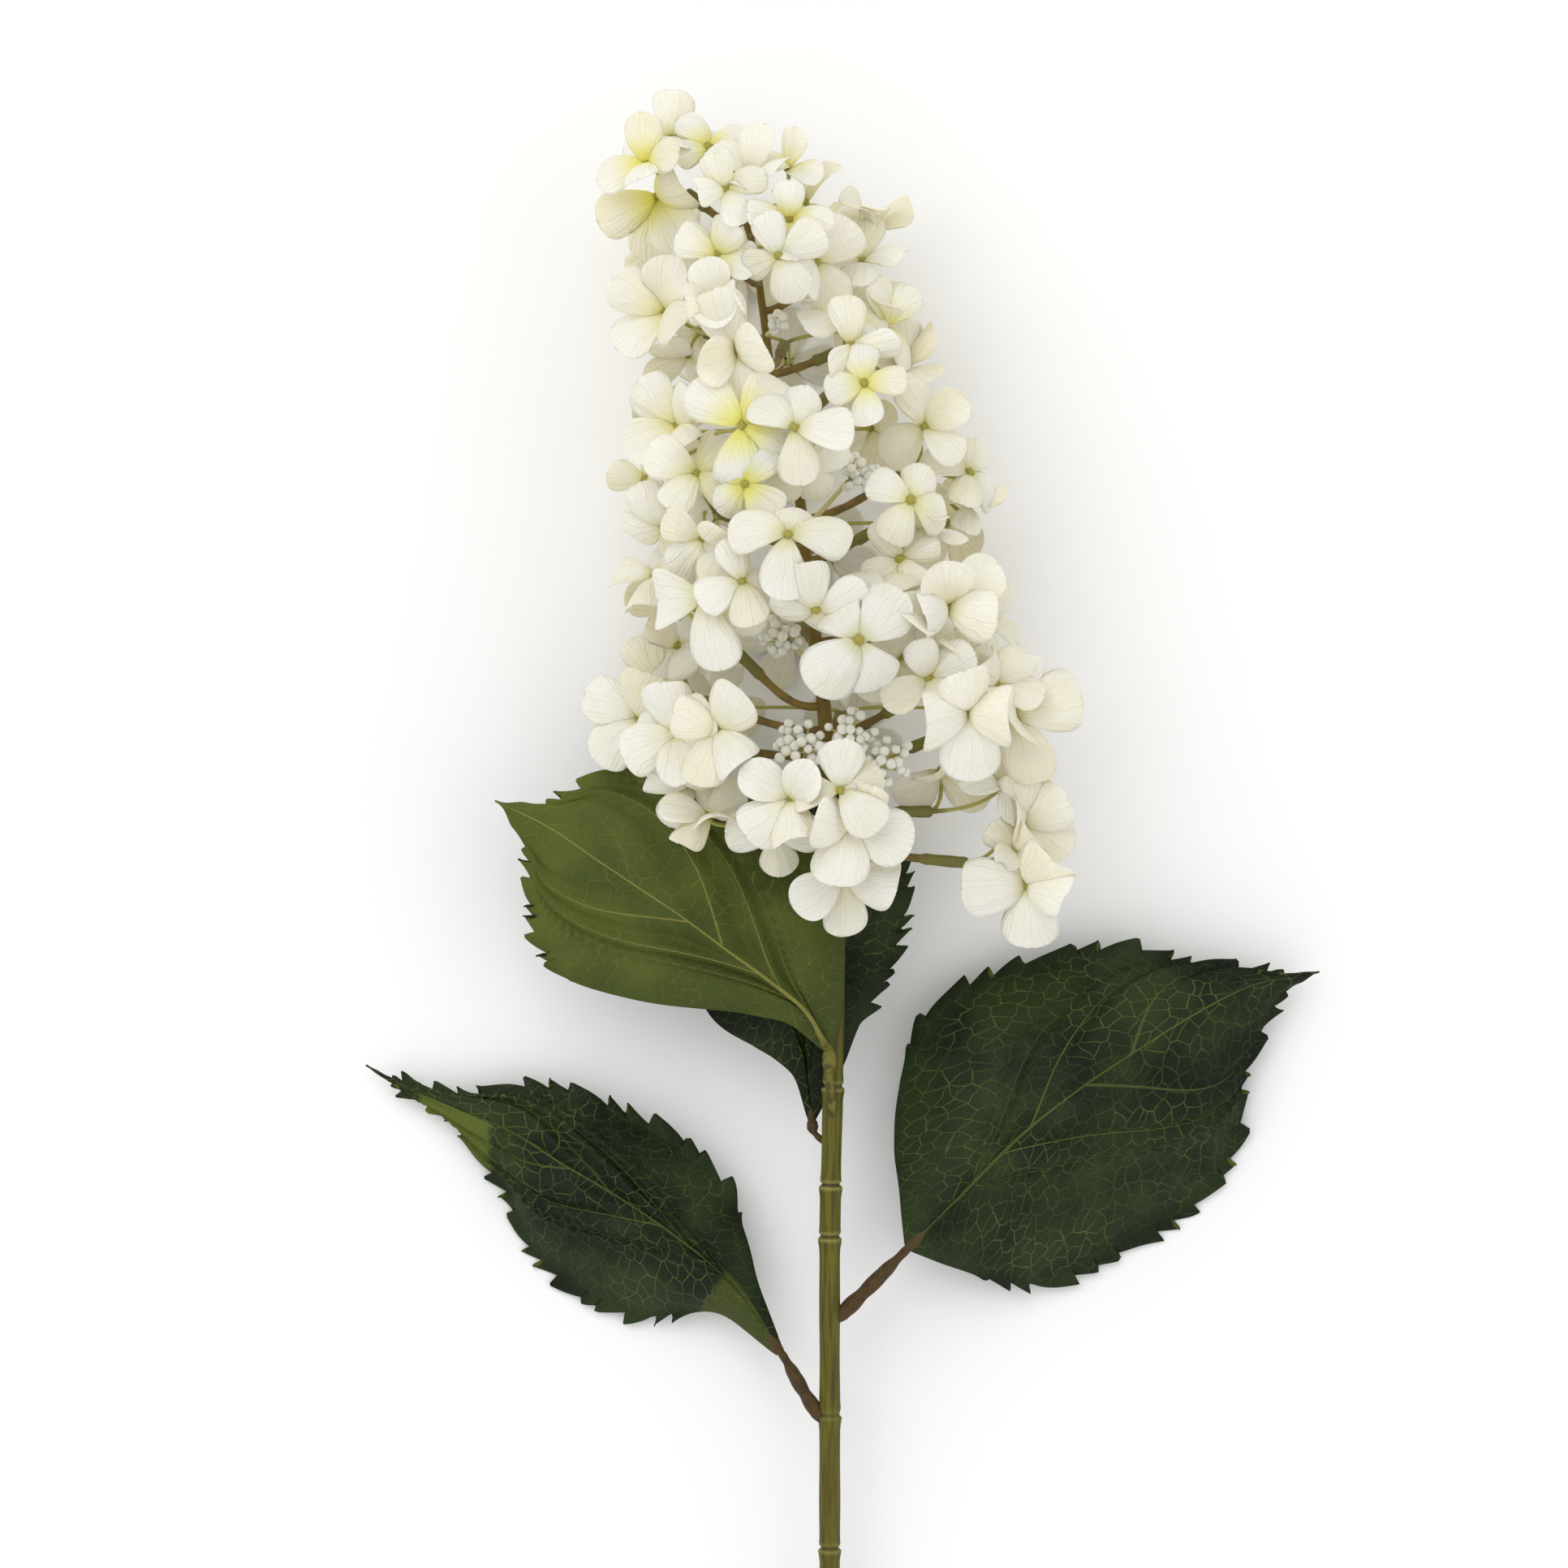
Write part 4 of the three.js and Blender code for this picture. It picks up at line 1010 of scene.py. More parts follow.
@dataclass(frozen=True)
class Leaf:
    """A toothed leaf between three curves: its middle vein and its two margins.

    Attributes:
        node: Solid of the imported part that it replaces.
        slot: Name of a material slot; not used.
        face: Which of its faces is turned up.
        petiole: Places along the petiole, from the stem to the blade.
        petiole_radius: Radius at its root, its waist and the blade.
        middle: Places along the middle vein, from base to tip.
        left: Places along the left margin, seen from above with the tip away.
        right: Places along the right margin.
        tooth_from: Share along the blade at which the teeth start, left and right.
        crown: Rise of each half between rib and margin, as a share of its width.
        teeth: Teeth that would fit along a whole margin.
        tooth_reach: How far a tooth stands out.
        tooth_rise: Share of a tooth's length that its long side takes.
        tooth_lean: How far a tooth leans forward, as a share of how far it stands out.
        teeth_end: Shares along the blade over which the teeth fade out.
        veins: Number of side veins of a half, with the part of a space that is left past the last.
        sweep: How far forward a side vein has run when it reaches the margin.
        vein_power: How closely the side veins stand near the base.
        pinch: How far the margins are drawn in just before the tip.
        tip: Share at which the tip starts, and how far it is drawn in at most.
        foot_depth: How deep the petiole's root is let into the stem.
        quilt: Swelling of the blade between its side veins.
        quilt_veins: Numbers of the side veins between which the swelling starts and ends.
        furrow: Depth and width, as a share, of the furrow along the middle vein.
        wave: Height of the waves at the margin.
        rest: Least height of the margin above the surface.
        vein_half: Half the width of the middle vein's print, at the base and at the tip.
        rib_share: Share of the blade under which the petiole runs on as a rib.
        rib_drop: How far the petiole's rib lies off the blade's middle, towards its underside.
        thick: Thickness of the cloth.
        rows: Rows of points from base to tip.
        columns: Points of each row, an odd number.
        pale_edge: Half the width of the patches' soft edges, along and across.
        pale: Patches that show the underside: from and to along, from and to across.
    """

    node: str
    slot: str
    face: Side
    petiole: tuple
    petiole_radius: tuple
    middle: tuple
    left: tuple
    right: tuple
    tooth_from: tuple
    crown: float
    teeth: int = 21
    tooth_reach: float = 4.2
    tooth_rise: float = 0.84
    tooth_lean: float = 0.7
    teeth_end: tuple = (0.84, 0.92)
    veins: float = 6.4
    sweep: float = 0.84
    vein_power: float = 0.42
    pinch: float = 0.5
    tip: tuple = (0.94, 0.88)
    foot_depth: float = 4.4
    quilt: float = 2.8
    quilt_veins: tuple = ((2.0, 3.0), (5.2, 5.8))
    furrow: tuple = (1.5, 0.06)
    wave: float = 0.9
    rest: float = 0.35
    vein_half: tuple = (1.0, 0.5)
    rib_share: float = 0.55
    rib_drop: float = 0.25
    thick: float = 0.5
    rows: int = 260
    columns: int = 81
    pale_edge: tuple = (0.008, 0.03)
    pale: tuple = ()

    def surface(self, along: np.ndarray, across: np.ndarray) -> np.ndarray:
        """Work out the blade's middle surface.

        A point lies between the middle vein and a margin, raised by a crown that is highest half
        way between them. Near the tip both margins are drawn in, so that the leaf ends in a point.

        Args:
            along: Shares from base to tip, one for each row.
            across: Shares from the left margin (-1) to the right one (1), one for each column.

        Returns:
            Array of rows x columns x 3.
        """
        middle = smooth_line(self.middle, along)[:, None]
        left = smooth_line(self.left, along)[:, None]
        right = smooth_line(self.right, along)[:, None]
        margin = np.where(across[None, :, None] < 0, left, right)
        reach = np.abs(across)[None, :, None]
        tip_start, most = self.tip
        drawn_in = self.pinch * bell(along, 0.92, 0.07) + 0.86 * smooth_step(tip_start, 1.0, along)
        drawn_in = np.minimum(drawn_in, most)
        grid = middle + (margin - middle) * reach * (1 - drawn_in)[:, None, None]
        width = np.linalg.norm(margin - middle, axis=2)
        grid[..., 2] += self.crown * width * 4 * reach[..., 0] * (1 - reach[..., 0])
        return grid

    def toothed(self, grid: np.ndarray, along: np.ndarray, across: np.ndarray) -> np.ndarray:
        """Draw the outer part of the blade out into saw teeth that lean to the tip.

        Args:
            grid: The blade's surface.
            along: Share of each row.
            across: Share of each column.

        Returns:
            The surface with teeth.
        """
        forward = unit(np.gradient(grid, axis=0))
        outward = np.stack([forward[..., 1], -forward[..., 0], 0 * forward[..., 2]], axis=-1)
        outward = outward * np.sign(across)[None, :, None]
        jitter = 0.25 * np.sin(along * 47.0 + len(self.node))
        phase = np.mod(along * self.teeth + jitter, 1.0)
        rise = self.tooth_rise
        saw = np.where(phase < rise, phase / rise, (1 - phase) / (1 - rise))
        size = 0.88 + 0.2 * np.sin(along * 31.0)
        limit = np.where(across < 0, self.tooth_from[0], self.tooth_from[1])
        shown = smooth_step(0, 0.06, along[:, None] - limit[None])
        shown = shown * (1 - smooth_step(*self.teeth_end, along))[:, None]
        near = smooth_step(0.9, 1.0, np.abs(across))[None]
        step = (self.tooth_reach * size * saw)[:, None] * shown * near
        return grid + outward * step[..., None] + forward * (self.tooth_lean * step)[..., None]

    def vein_phase(self, along: np.ndarray, across: np.ndarray) -> np.ndarray:
        """Number the side veins: the value is whole on each vein and rises towards the tip.

        A side vein leaves the middle at a share s and runs forward as it goes out, to
        s + (1 - s) x sweep x (0.9 reach + 0.1 reach^3). The value grows as a power of s, so the
        veins are closest near the base, and those of the two sides alternate.

        Args:
            along: Share of each row.
            across: Share of each column.

        Returns:
            Array of rows x columns.
        """
        reach = np.abs(across)[None]
        sweep = self.sweep * (0.9 * reach + 0.1 * reach**3)
        start = np.maximum((along[:, None] - sweep) / (1 - sweep), 0)
        shake = 0.06 * np.sin(reach * 7.0 + along[:, None] * 9.0) * reach
        offset = np.where(across < 0, -0.2, 0.2)[None]
        return self.veins * start**self.vein_power + 0.5 + offset + shake * smooth_step(0.0, 0.1, start)

    def relief(self, phase: np.ndarray, along: np.ndarray, across: np.ndarray) -> np.ndarray:
        """Work out how far the blade swells between its veins, and sinks along the middle.

        Args:
            phase: Number of the side veins at each point.
            along: Share of each row.
            across: Share of each column.

        Returns:
            Height of each point, positive away from the ribs.
        """
        reach = np.abs(across)[None]
        swell = 0.5 - 0.5 * np.cos(2 * math.pi * phase)
        body = between(reach, (0.01, 0.16), (0.7, 1.0)) * between(phase, *self.quilt_veins)
        depth, width = self.furrow
        valley = bell(reach, 0, width) * (1 - along[:, None])
        return self.quilt * swell**0.9 * body - depth * valley

    def bent(self, grid: np.ndarray, phase: np.ndarray, along: np.ndarray, across: np.ndarray) -> np.ndarray:
        """Move the blade's points along its normal, by the relief and by waves at the margin.

        Args:
            grid: The blade's surface.
            phase: Number of the side veins at each point.
            along: Share of each row.
            across: Share of each column.

        Returns:
            The surface with its relief, clear of what the leaf lies on.
        """
        normal = unit(np.cross(np.gradient(grid, axis=1), np.gradient(grid, axis=0)))
        facing = 1.0 if self.face is Side.TOP else -1.0
        wave = self.wave * np.sin(along * 40.0 + 2.0 * np.sin(along * 9.0))
        wave = (wave * between(along, (0.05, 0.2), (0.74, 0.9)))[:, None] * np.abs(across)[None] ** 5
        bend = facing * self.relief(phase, along, across) + wave
        ends = between(along, (0.0, 0.05), (0.93, 1.0))
        grid = grid + normal * (bend * ends[:, None])[..., None]
        grid[..., 2] = np.maximum(grid[..., 2], self.rest + 0.3 * (1 - np.abs(across))[None])
        return grid

    def shows_under(self, along: np.ndarray, across: np.ndarray) -> np.ndarray:
        """Work out where the upper face shows the print of the underside.

        Args:
            along: Share of each row.
            across: Share of each column.

        Returns:
            Array of rows x columns, 1 where it shows and 0 elsewhere.
        """
        shown = np.full((len(along), len(across)), self.face.value)
        by, aside = self.pale_edge
        for low, high, inner, outer in self.pale:
            band = between(along, (low - by, low + by), (high - by, high + by))
            strip = between(across, (inner - aside, inner + aside), (outer - aside, outer + aside))
            shown = np.maximum(shown, band[:, None] * strip[None])
        return shown

    def build(self, material: bpy.types.Material) -> None:
        """Make the blade and its petiole in one piece.

        The columns lie closest at the middle vein and at the margins. The blade's UV map is its
        length along the middle vein and sideways from it. The offset is the distance from the
        middle line, in half widths of the middle vein.

        Args:
            material: Its finish.
        """
        along = np.linspace(0, 1, self.rows)
        across = np.linspace(-1, 1, self.columns)
        across = np.sign(across) * (1 - np.cos(np.abs(across) * math.pi)) / 2
        phase = self.vein_phase(along, across)
        grid = self.toothed(self.surface(along, across), along, across)
        grid = self.bent(grid, phase, along, across)
        centre = self.columns // 2
        sideways = running_length(grid, 1)
        sideways -= sideways[:, centre][:, None]
        lengthways = running_length(grid[:, centre], 0)
        uv = paired(sideways / UV_UNIT, lengthways[:, None] / UV_UNIT)
        vein_base, vein_tip = self.vein_half
        vein = vein_tip + (vein_base - vein_tip) * (1 - along)
        shares = {
            "along": np.broadcast_to(along[:, None], grid.shape[:2]),
            "reach": np.broadcast_to(np.abs(across)[None], grid.shape[:2]),
            "offset": np.abs(sideways) / vein[:, None],
            "phase": phase,
        }
        skin = Skin()
        upper = {**shares, "under": self.shows_under(along, across)}
        lower = {**shares, "under": 1.0 - self.face.value}
        skin.add_shell(grid, self.thick, uv, upper, lower)
        self.add_petiole(skin, grid)
        piece = skin.build(self.node + "_blade", material)
        finish_piece(piece, self.node)

    def add_petiole(self, skin: Skin, grid: np.ndarray) -> None:
        """Add the petiole, which runs on under the blade as a tapering rib.

        It is thick at the root, swells once more half way and thins towards the blade.

        Args:
            skin: The blade in the making.
            grid: The blade's middle surface.
        """
        spine = grid[:, self.columns // 2]
        foot = np.asarray(self.petiole[0], dtype=float)
        foot = foot - unit(np.asarray(self.petiole[1], dtype=float) - foot) * self.foot_depth
        start = smooth_line([foot, *self.petiole[1:], spine[2]], np.linspace(0, 1, 40))
        count = int(self.rows * self.rib_share)
        drop = np.zeros((count, 3))
        drop[:, 2] = -self.rib_drop if self.face is Side.TOP else self.rib_drop
        rib_line = np.vstack([start, spine[3:count + 3] + drop])
        share = np.linspace(0, 1, len(start))
        root, waist, neck = self.petiole_radius
        profile = (
            (0, root * 0.5), (0.07, root * 0.9), (0.16, root * 1.05), (0.3, root * 0.84),
            (0.44, waist * 1.36), (0.52, waist * 1.2), (0.6, waist * 0.8), (0.8, waist * 0.76),
            (1, neck),
        )
        first = np.interp(share, *zip(*profile)) * (1 + 0.04 * np.sin(share * 37.0))
        further = np.linspace(0, 1, count)
        second = np.interp(further, [0, 0.1, 1], [neck, neck * 0.55, 0.2])
        radii = np.concatenate([first, second])
        faded = np.interp(further, [0, 0.12, 1], [1, 0.35, 0])
        spread = np.concatenate([np.ones(len(start)), faded])
        values = {"rib": spread, "under": self.face.value, "along": 0.1, "phase": 0.5}
        skin.add_tube(rib_line, radii, 14, values)


LEAVES = (
    Leaf(
        node="leaf_upper_front", slot="leaf_pale", face=Side.UNDER, tooth_from=(0.5, 0.6), crown=0.06,
        petiole=((-3.4, -22, 43.6), (-4, -12, 45.8), (-4.4, -3, 47.6)), petiole_radius=(1.5, 1.9, 1.5),
        pinch=0.18,
        middle=((-4.5, -4, 48), (-12, 9, 52), (-24, 19, 54), (-38, 29, 54), (-53, 40, 52),
                (-68, 50, 49), (-83, 60, 45), (-98, 70, 41), (-115.5, 78.5, 38)),
        left=((-6, -4.4, 47.5), (-21, 6, 50), (-44, 9, 49), (-69, 13, 46), (-89, 18, 43),
              (-99, 29, 41), (-103, 43, 40), (-105, 59, 39), (-116, 78, 38)),
        right=((-3, -3.6, 48.4), (0, 12, 52), (1, 31, 53), (-1, 47, 51), (-20, 74, 48),
               (-48, 90, 45), (-74, 89, 42), (-95, 79, 40), (-115, 79.6, 38)),
    ),
    Leaf(
        node="leaf_upper_back", slot="leaf_dark", face=Side.TOP, tooth_from=(0.5, 0.22), crown=0.05,
        petiole=((-7.6, -33.5, 34.5), (-9.2, -32, 33.6), (-10, -27, 33)), petiole_radius=(1.1, 1.5, 1.3),
        middle=((-10, -28, 33), (-12, -10, 33), (-14, 8, 33), (-14, 25, 32), (-13, 42, 31),
                (-12, 58, 30), (-10, 72, 29), (-8, 84, 28), (-6, 95, 27)),
        left=((-11.2, -28, 32.6), (-17, -12, 30), (-29, -4, 28), (-43, 6, 27), (-51, 22, 26),
              (-51, 42, 26), (-42, 60, 26), (-25, 78, 26), (-7, 94.6, 27)),
        right=((-8.8, -28, 33), (-1, -13, 33), (7, 6, 32), (15, 22, 31), (20, 38, 30),
               (21, 54, 29), (15, 70, 28), (5, 84, 28), (-5, 95.4, 27)),
    ),
    Leaf(
        node="leaf_lower_left", slot="leaf_dark", face=Side.TOP, tooth_from=(0.14, 0.2), crown=0.1,
        petiole=((-8.9, -125, 26), (-13, -118.5, 25.5), (-19, -108, 24.8)), petiole_radius=(2.5, 1.8, 1.8),
        middle=((-20.5, -106, 24), (-36, -84, 23), (-56, -67, 24), (-75, -54, 23), (-94, -43, 19),
                (-112, -32, 14), (-133, -23.5, 9), (-149, -17, 6), (-160, -10.5, 5)),
        left=((-21.6, -107, 23.5), (-43, -93, 11), (-66, -95, 4), (-86, -88, 1.4), (-103, -74, 1),
              (-113, -53, 1.6), (-130, -29, 4), (-148, -18.5, 5), (-160.6, -11.3, 5)),
        right=((-19.6, -105, 24.5), (-29, -80, 19), (-36, -56, 15), (-53, -37, 13), (-76, -25, 12),
               (-99, -18, 10), (-127, -20.5, 8), (-148.5, -15.3, 6.5), (-159.6, -9.7, 5)),
        pale=((-0.1, 0.15, -1.1, 0.2), (0.66, 0.82, -1.1, -0.05)),
    ),
    Leaf(
        node="leaf_lower_right", slot="leaf_dark", face=Side.TOP, tooth_from=(0.3, 0.12), crown=0.08,
        petiole=((0.8, -92, 29.8), (8, -85, 30), (20, -73, 29)), petiole_radius=(2.7, 1.9, 1.9),
        middle=((22, -71, 28.5), (41, -52, 31), (59, -34, 32), (79, -18, 31), (100, -4, 28),
                (118, 7, 23), (136, 16, 17), (150, 19.5, 13), (160.5, 21, 11)),
        left=((21, -70, 28.5), (19, -48, 20), (18, -24, 15), (29, 6, 13), (57, 22, 13),
              (89, 28.5, 14), (116, 24, 14), (143, 20.5, 12.5), (160.3, 21.8, 11)),
        right=((23, -72, 28.5), (44, -80, 15), (68, -84, 5), (93, -73, 1.4), (116, -60, 1),
               (131, -41, 2), (135, -14, 6), (145, 8, 9), (160.7, 20.2, 11)),
    ),
)


@dataclass(frozen=True)
class FoldRule:
    """How far petals are folded forward, in degrees, where no fold is given.

    Attributes:
        open: Least and greatest fold of a petal that stays open.
        raised: Least and greatest fold of a raised one.
        open_share: Share of the petals that stay open.
        down_share: How much of the fold the florets that face the surface take.
        back_share: Share of the petals past which the rest fold back.
        back_above: Height above which all petals fold back.
        back_most: Greatest fold backwards.
    """

    open: tuple = (-10, 20)
    raised: tuple = (30, 58)
    open_share: float = 0.6
    down_share: float = 0.4
    back_share: float = 0.92
    back_above: float = 90.0
    back_most: float = 35.0

    def drawn(self, pick: np.ndarray, share: np.ndarray) -> np.ndarray:
        """Draw a fold for each petal.

        Args:
            pick: Draws that say whether a petal stays open.
            share: Draws that say where in its range it lies.

        Returns:
            Array of folds in degrees.
        """
        low = self.open[0] + (self.open[1] - self.open[0]) * share
        high = self.raised[0] + (self.raised[1] - self.raised[0]) * share
        return np.where(pick < self.open_share, low, high)


FOLD = FoldRule()


@dataclass(frozen=True)
class Floret:
    """One four-petalled floret.

    Attributes:
        at: Its middle.
        tilt: Sideways and lengthways parts of the direction that it faces.
        turn: Direction of one petal, or of all four, in degrees.
        span: Distance from petal tip to petal tip.
        yellow: How strongly its petals are flushed with yellow.
        folds: How far each petal is folded to the side that it faces, in degrees, if given.
        down: Whether it faces the surface.
        pressed: Whether it lies flat on the surface.
    """

    at: tuple
    tilt: tuple
    turn: float | tuple
    span: float
    yellow: float = 0.0
    folds: tuple = ()
    down: bool = False
    pressed: bool = False

    def frame(self) -> tuple:
        """Work out the floret's own axes.

        Returns:
            The direction that it faces and the two that it spreads in.
        """
        tilt_x, tilt_y = self.tilt
        tilt_z = math.sqrt(max(0.0, 1 - tilt_x * tilt_x - tilt_y * tilt_y))
        face = unit(np.array([tilt_x, tilt_y, -tilt_z if self.down else tilt_z]))
        right = unit(np.array([1.0, 0.0, 0.0]) - face * face[0])
        return face, right, np.cross(face, right)

    def petal_angles(self, seed: int) -> np.ndarray:
        """Work out the directions of the four petals.

        Args:
            seed: Number of the floret for its draws.

        Returns:
            Array of four angles in radians.
        """
        if isinstance(self.turn, tuple):
            return np.radians(np.array(self.turn, dtype=float))
        return np.radians(self.turn + 90 * np.arange(4) + 14 * (draws(seed, 0, 4) - 0.5))

    def petal_folds(self, seed: int) -> np.ndarray:
        """Work out how far each petal is folded forward.

        Args:
            seed: Number of the floret for its draws.

        Returns:
            Array of four angles in radians.
        """
        if self.pressed:
            return np.zeros(4)
        pick = draws(seed, 100, 4)
        drawn = FOLD.drawn(pick, draws(seed, 104, 4)) * (FOLD.down_share if self.down else 1.0)
        size = np.array(self.folds, dtype=float) if self.folds else drawn
        turned = (pick > FOLD.back_share) & (not self.folds)
        back = turned | self.down | (self.at[2] > FOLD.back_above)
        return np.radians(np.where(back, -np.minimum(size, FOLD.back_most), size))


@dataclass(frozen=True)
class Branch:
    """A side branch: where it leaves the axis, where it forks, and its florets."""

    root: float
    fork: tuple
    florets: tuple


FRONT_BRANCHES = (
    Branch(271, (-52, 280, 52), (
        Floret((-64, 288, 70), (-0.35, 0.25), (0, 88, 191, 275), 36, 1.0, (35, 25, 10, 50)),
        Floret((-57, 297, 58), (0.1, 0.45), 84, 36, 0.2),
        Floret((-61, 279, 52), (-0.2, -0.2), (-50, 30, 205, 272), 42, 1.0, (20, 50, 25, 0)))),
    Branch(289, (-39, 289, 60), (
        Floret((-44.5, 294, 65), (0.3, 0.5), 30, 28, 0.9),
        Floret((-39, 279, 86), (-0.1, 0.3), 20, 28, 0.3),
        Floret((-30, 284, 73), (0, 0.75), 64, 34, 0.1))),
    Branch(266, (-22, 275, 56), (
        Floret((-18, 287, 62), (-0.2, 0.8), 46, 28, 0.6),
        Floret((-12, 276, 56), (-0.45, 0.75), 24, 31, 0.2),
        Floret((-18, 269, 86), (0.2, 0.3), 5, 29, 0.9))),
    Branch(250, (-35, 254, 66), (
        Floret((-41, 258, 80), (-0.1, 0.2), 62, 29, 0.7),
        Floret((-21, 257, 92), (0, -0.2), 25, 31, 0.1),
        Floret((-41, 240, 82), (-0.1, 0.2), 10, 33, 0.05))),
    Branch(241, (-8, 252, 48), (
        Floret((9, 267, 42), (0.1, 0.92), 24, 34, 0.1),
        Floret((7, 257, 50), (-0.1, 0.9), 80, 33, 0.1),
        Floret((-9, 256, 70), (0.5, 0), 40, 36, 0.1))),
    Branch(228, (-46, 234, 48), (
        Floret((-58, 240, 62), (-0.35, 0.1), (-30, 62, 142, 220), 41, 0.4, (52, 36, 35, 10)),
        Floret((-51, 227, 50), (-0.3, -0.7), 20, 34, 0.0),
        Floret((-35, 226, 88), (-0.1, -0.2), (-80, 20, 110, 190), 42, 0.0, (15, 48, 15, 50)))),
    Branch(220, (-2, 227, 50), (
        Floret((0, 238, 64), (0.1, 0.8), 40, 36, 1.0),
        Floret((14, 235.5, 56.5), (0.24, 0.8), 55, 31, 0.7),
        Floret((20, 222, 44), (0.25, 0.8), 20, 34, 0.1))),
    Branch(201, (-4, 213, 66), (
        Floret((3, 228, 80), (0, -0.6), 10, 33, 0.2),
        Floret((7, 215, 88), (0, 0.3), 10, 29, 0.8))),
    Branch(189, (-42, 196, 54), (
        Floret((-54, 202, 66), (-0.45, 0.1), (-50, 40, 128, 215), 38, 0.4, (44, 38, 18, 26)),
        Floret((-33, 201, 100), (-0.05, 0.1), (-94, -24, 55, 139), 42, 1.0, (24, 20, 24, 8)),
        Floret((-65, 185, 46), (-0.5, 0.1), 70, 28, 0.4, (12, 28, 6, 18)))),
    Branch(181, (-14, 190, 80), (
        Floret((-16, 200, 107), (0, 0.35), (-80, -8, 75, 140), 36, 0.1, (40, 15, 25, 10)),
        Floret((-12, 186, 93), (0.1, -0.2), 35, 31, 0.0))),
    Branch(172, (22, 188, 46), (
        Floret((27, 202, 66), (0.3, 0.25), 35, 34, 0.1),
        Floret((42, 187, 56), (0.3, 0.6), 83, 31, 0.1),
        Floret((42, 176, 44), (0.3, 0.85), 86, 31, 0.0))),
    Branch(158, (13, 169, 66), (
        Floret((22, 177, 92), (0.15, 0.1), 68, 31, 0.35),
        Floret((26, 166, 74), (0.2, 0.8), 85, 31, 0.1),
        Floret((19, 158, 84), (-0.4, -0.1), 30, 29, 0.1))),
    Branch(163, (-41, 174, 60), (
        Floret((-48, 186, 78), (-0.3, -0.1), 60, 33, 0.4),
        Floret((-59, 169, 60), (-0.3, -0.5), 28, 33, 0.1),
        Floret((-46, 165, 84), (-0.2, -0.5), 50, 31, 0.1),
        Floret((-32, 182, 98), (-0.15, 0), 45, 31, 1.0))),
    Branch(110, (-37, 129, 60), (
        Floret((-62, 153, 50), (-0.5, 0.6), 74, 33, 0.0),
        Floret((-45, 145, 92), (-0.2, -0.05), (-80, -20, 70, 180), 46, 0.15, (0, 50, 55, 52)),
        Floret((-33, 150, 99), (0.1, 0.3), 20, 29, 0.1))),
    Branch(140, (-12, 147, 82), (
        Floret((-18, 165, 112), (0, 0.45), (-100, 7, 70, 160), 42, 0.1, (55, 20, 45, 25)),
        Floret((-9, 141, 104), (0, -0.55), 15, 33, 0.0))),
    Branch(113, (4, 124, 84), (
        Floret((14, 145, 98), (0, 0.65), (-20, 64, 121, 200), 38, 0.0, (30, 20, 20, 45)),
        Floret((5, 131, 108), (0, -0.1), (-72, 41, 130, 228), 42, 0.0, (38, 55, 57, 5)))),
    Branch(131, (20, 135, 60), (
        Floret((34, 142, 82), (0.25, 0), (-17, 45, 113, 191), 42, 0.1, (45, 20, 38, 48)),
        Floret((47, 138, 52), (0.6, 0.4), 84, 29, 0.0),
        Floret((38, 128, 72), (0.2, 0.4), 55, 33, 0.1))),
    Branch(101, (23, 112, 62), (
        Floret((28, 119, 86), (0.2, 0), 30, 33, 0.0),
        Floret((41, 108, 88), (0.1, 0), (-88, -10, 110, 192), 43, 0.0, (0, 55, 58, 42)),
        Floret((19, 126, 66), (0, 0.1), 45, 36, 0.0))),
    Branch(89, (36, 101, 48), (
        Floret((50, 117, 72), (0.5, 0.3), 67, 31, 0.0),
        Floret((56, 107, 60), (0.35, 0), (-73, 18, 82, 200), 44, 0.0, (20, 30, 28, 55)))),
    Branch(74, (30, 75, 48), (
        Floret((53, 84, 56), (0.3, 0.6), 20, 31, 0.0),
        Floret((33, 89, 46), (0.1, -0.5), 40, 36, 0.0))),
    Branch(60, (42, 58, 52), (
        Floret((59, 71, 52), (0.4, 0.2), (-25, 33, 100, 190), 38, 0.0, (10, 50, 45, 55)),
        Floret((57, 62, 60), (0, 0.1), (-42, 48, 135, 225), 26, 0.0, (30, 45, 20, 50)),
        Floret((61, 51, 66), (0, 0), (-12, 50, 185, 272), 43, 0.0, (60, 58, 28, 0)))),
    Branch(102, (-47, 112, 42), (
        Floret((-67, 106, 46), (-0.4, 0.05), (-30, 60, 153, 222), 40, 0.0, (50, 45, 20, 15)),
        Floret((-61, 118, 40), (-0.3, 0.4), 20, 31, 0.0),
        Floret((-55, 130, 36), (-0.2, 0.4), 60, 29, 0.0))),
    Branch(93, (-40, 96, 58), (
        Floret((-54, 101, 68), (-0.15, 0), (-87, 20, 105, 203), 40, 0.1, (30, 50, 35, 20)),
        Floret((-41, 102, 82), (0, 0), (-105, -57, 53, 160), 40, 0.05, (10, 40, 42, 30)),
        Floret((-50, 84, 58), (-0.3, -0.4), 58, 33, 0.0))),
    Branch(68, (-18, 71, 66), (
        Floret((-17, 79, 90), (-0.1, 0), (-80, 50, 142, 221), 36, 0.1, (44, 42, 14, 14)),
        Floret((-22, 68, 76), (0, -0.2), 2, 31, 0.0),
        Floret((-44, 73, 66), (0, 0.5), (-70, 36, 175, 230), 32, 0.1, (55, 30, 10, 10)))),
    Branch(61, (1, 67, 68), (
        Floret((-1, 82, 102), (0, 0), (-48, 20, 88, 180), 34, 0.0, (5, 40, 25, 55)),
        Floret((2, 72, 86), (0.1, -0.1), (-102, -20, 70, 177), 44, 0.0, (25, 15, 45, 50)),
        Floret((0, 54, 74), (0, -0.2), (-84, -10, 80, 206), 38, 0.0, (10, 25, 30, 15)))),
)


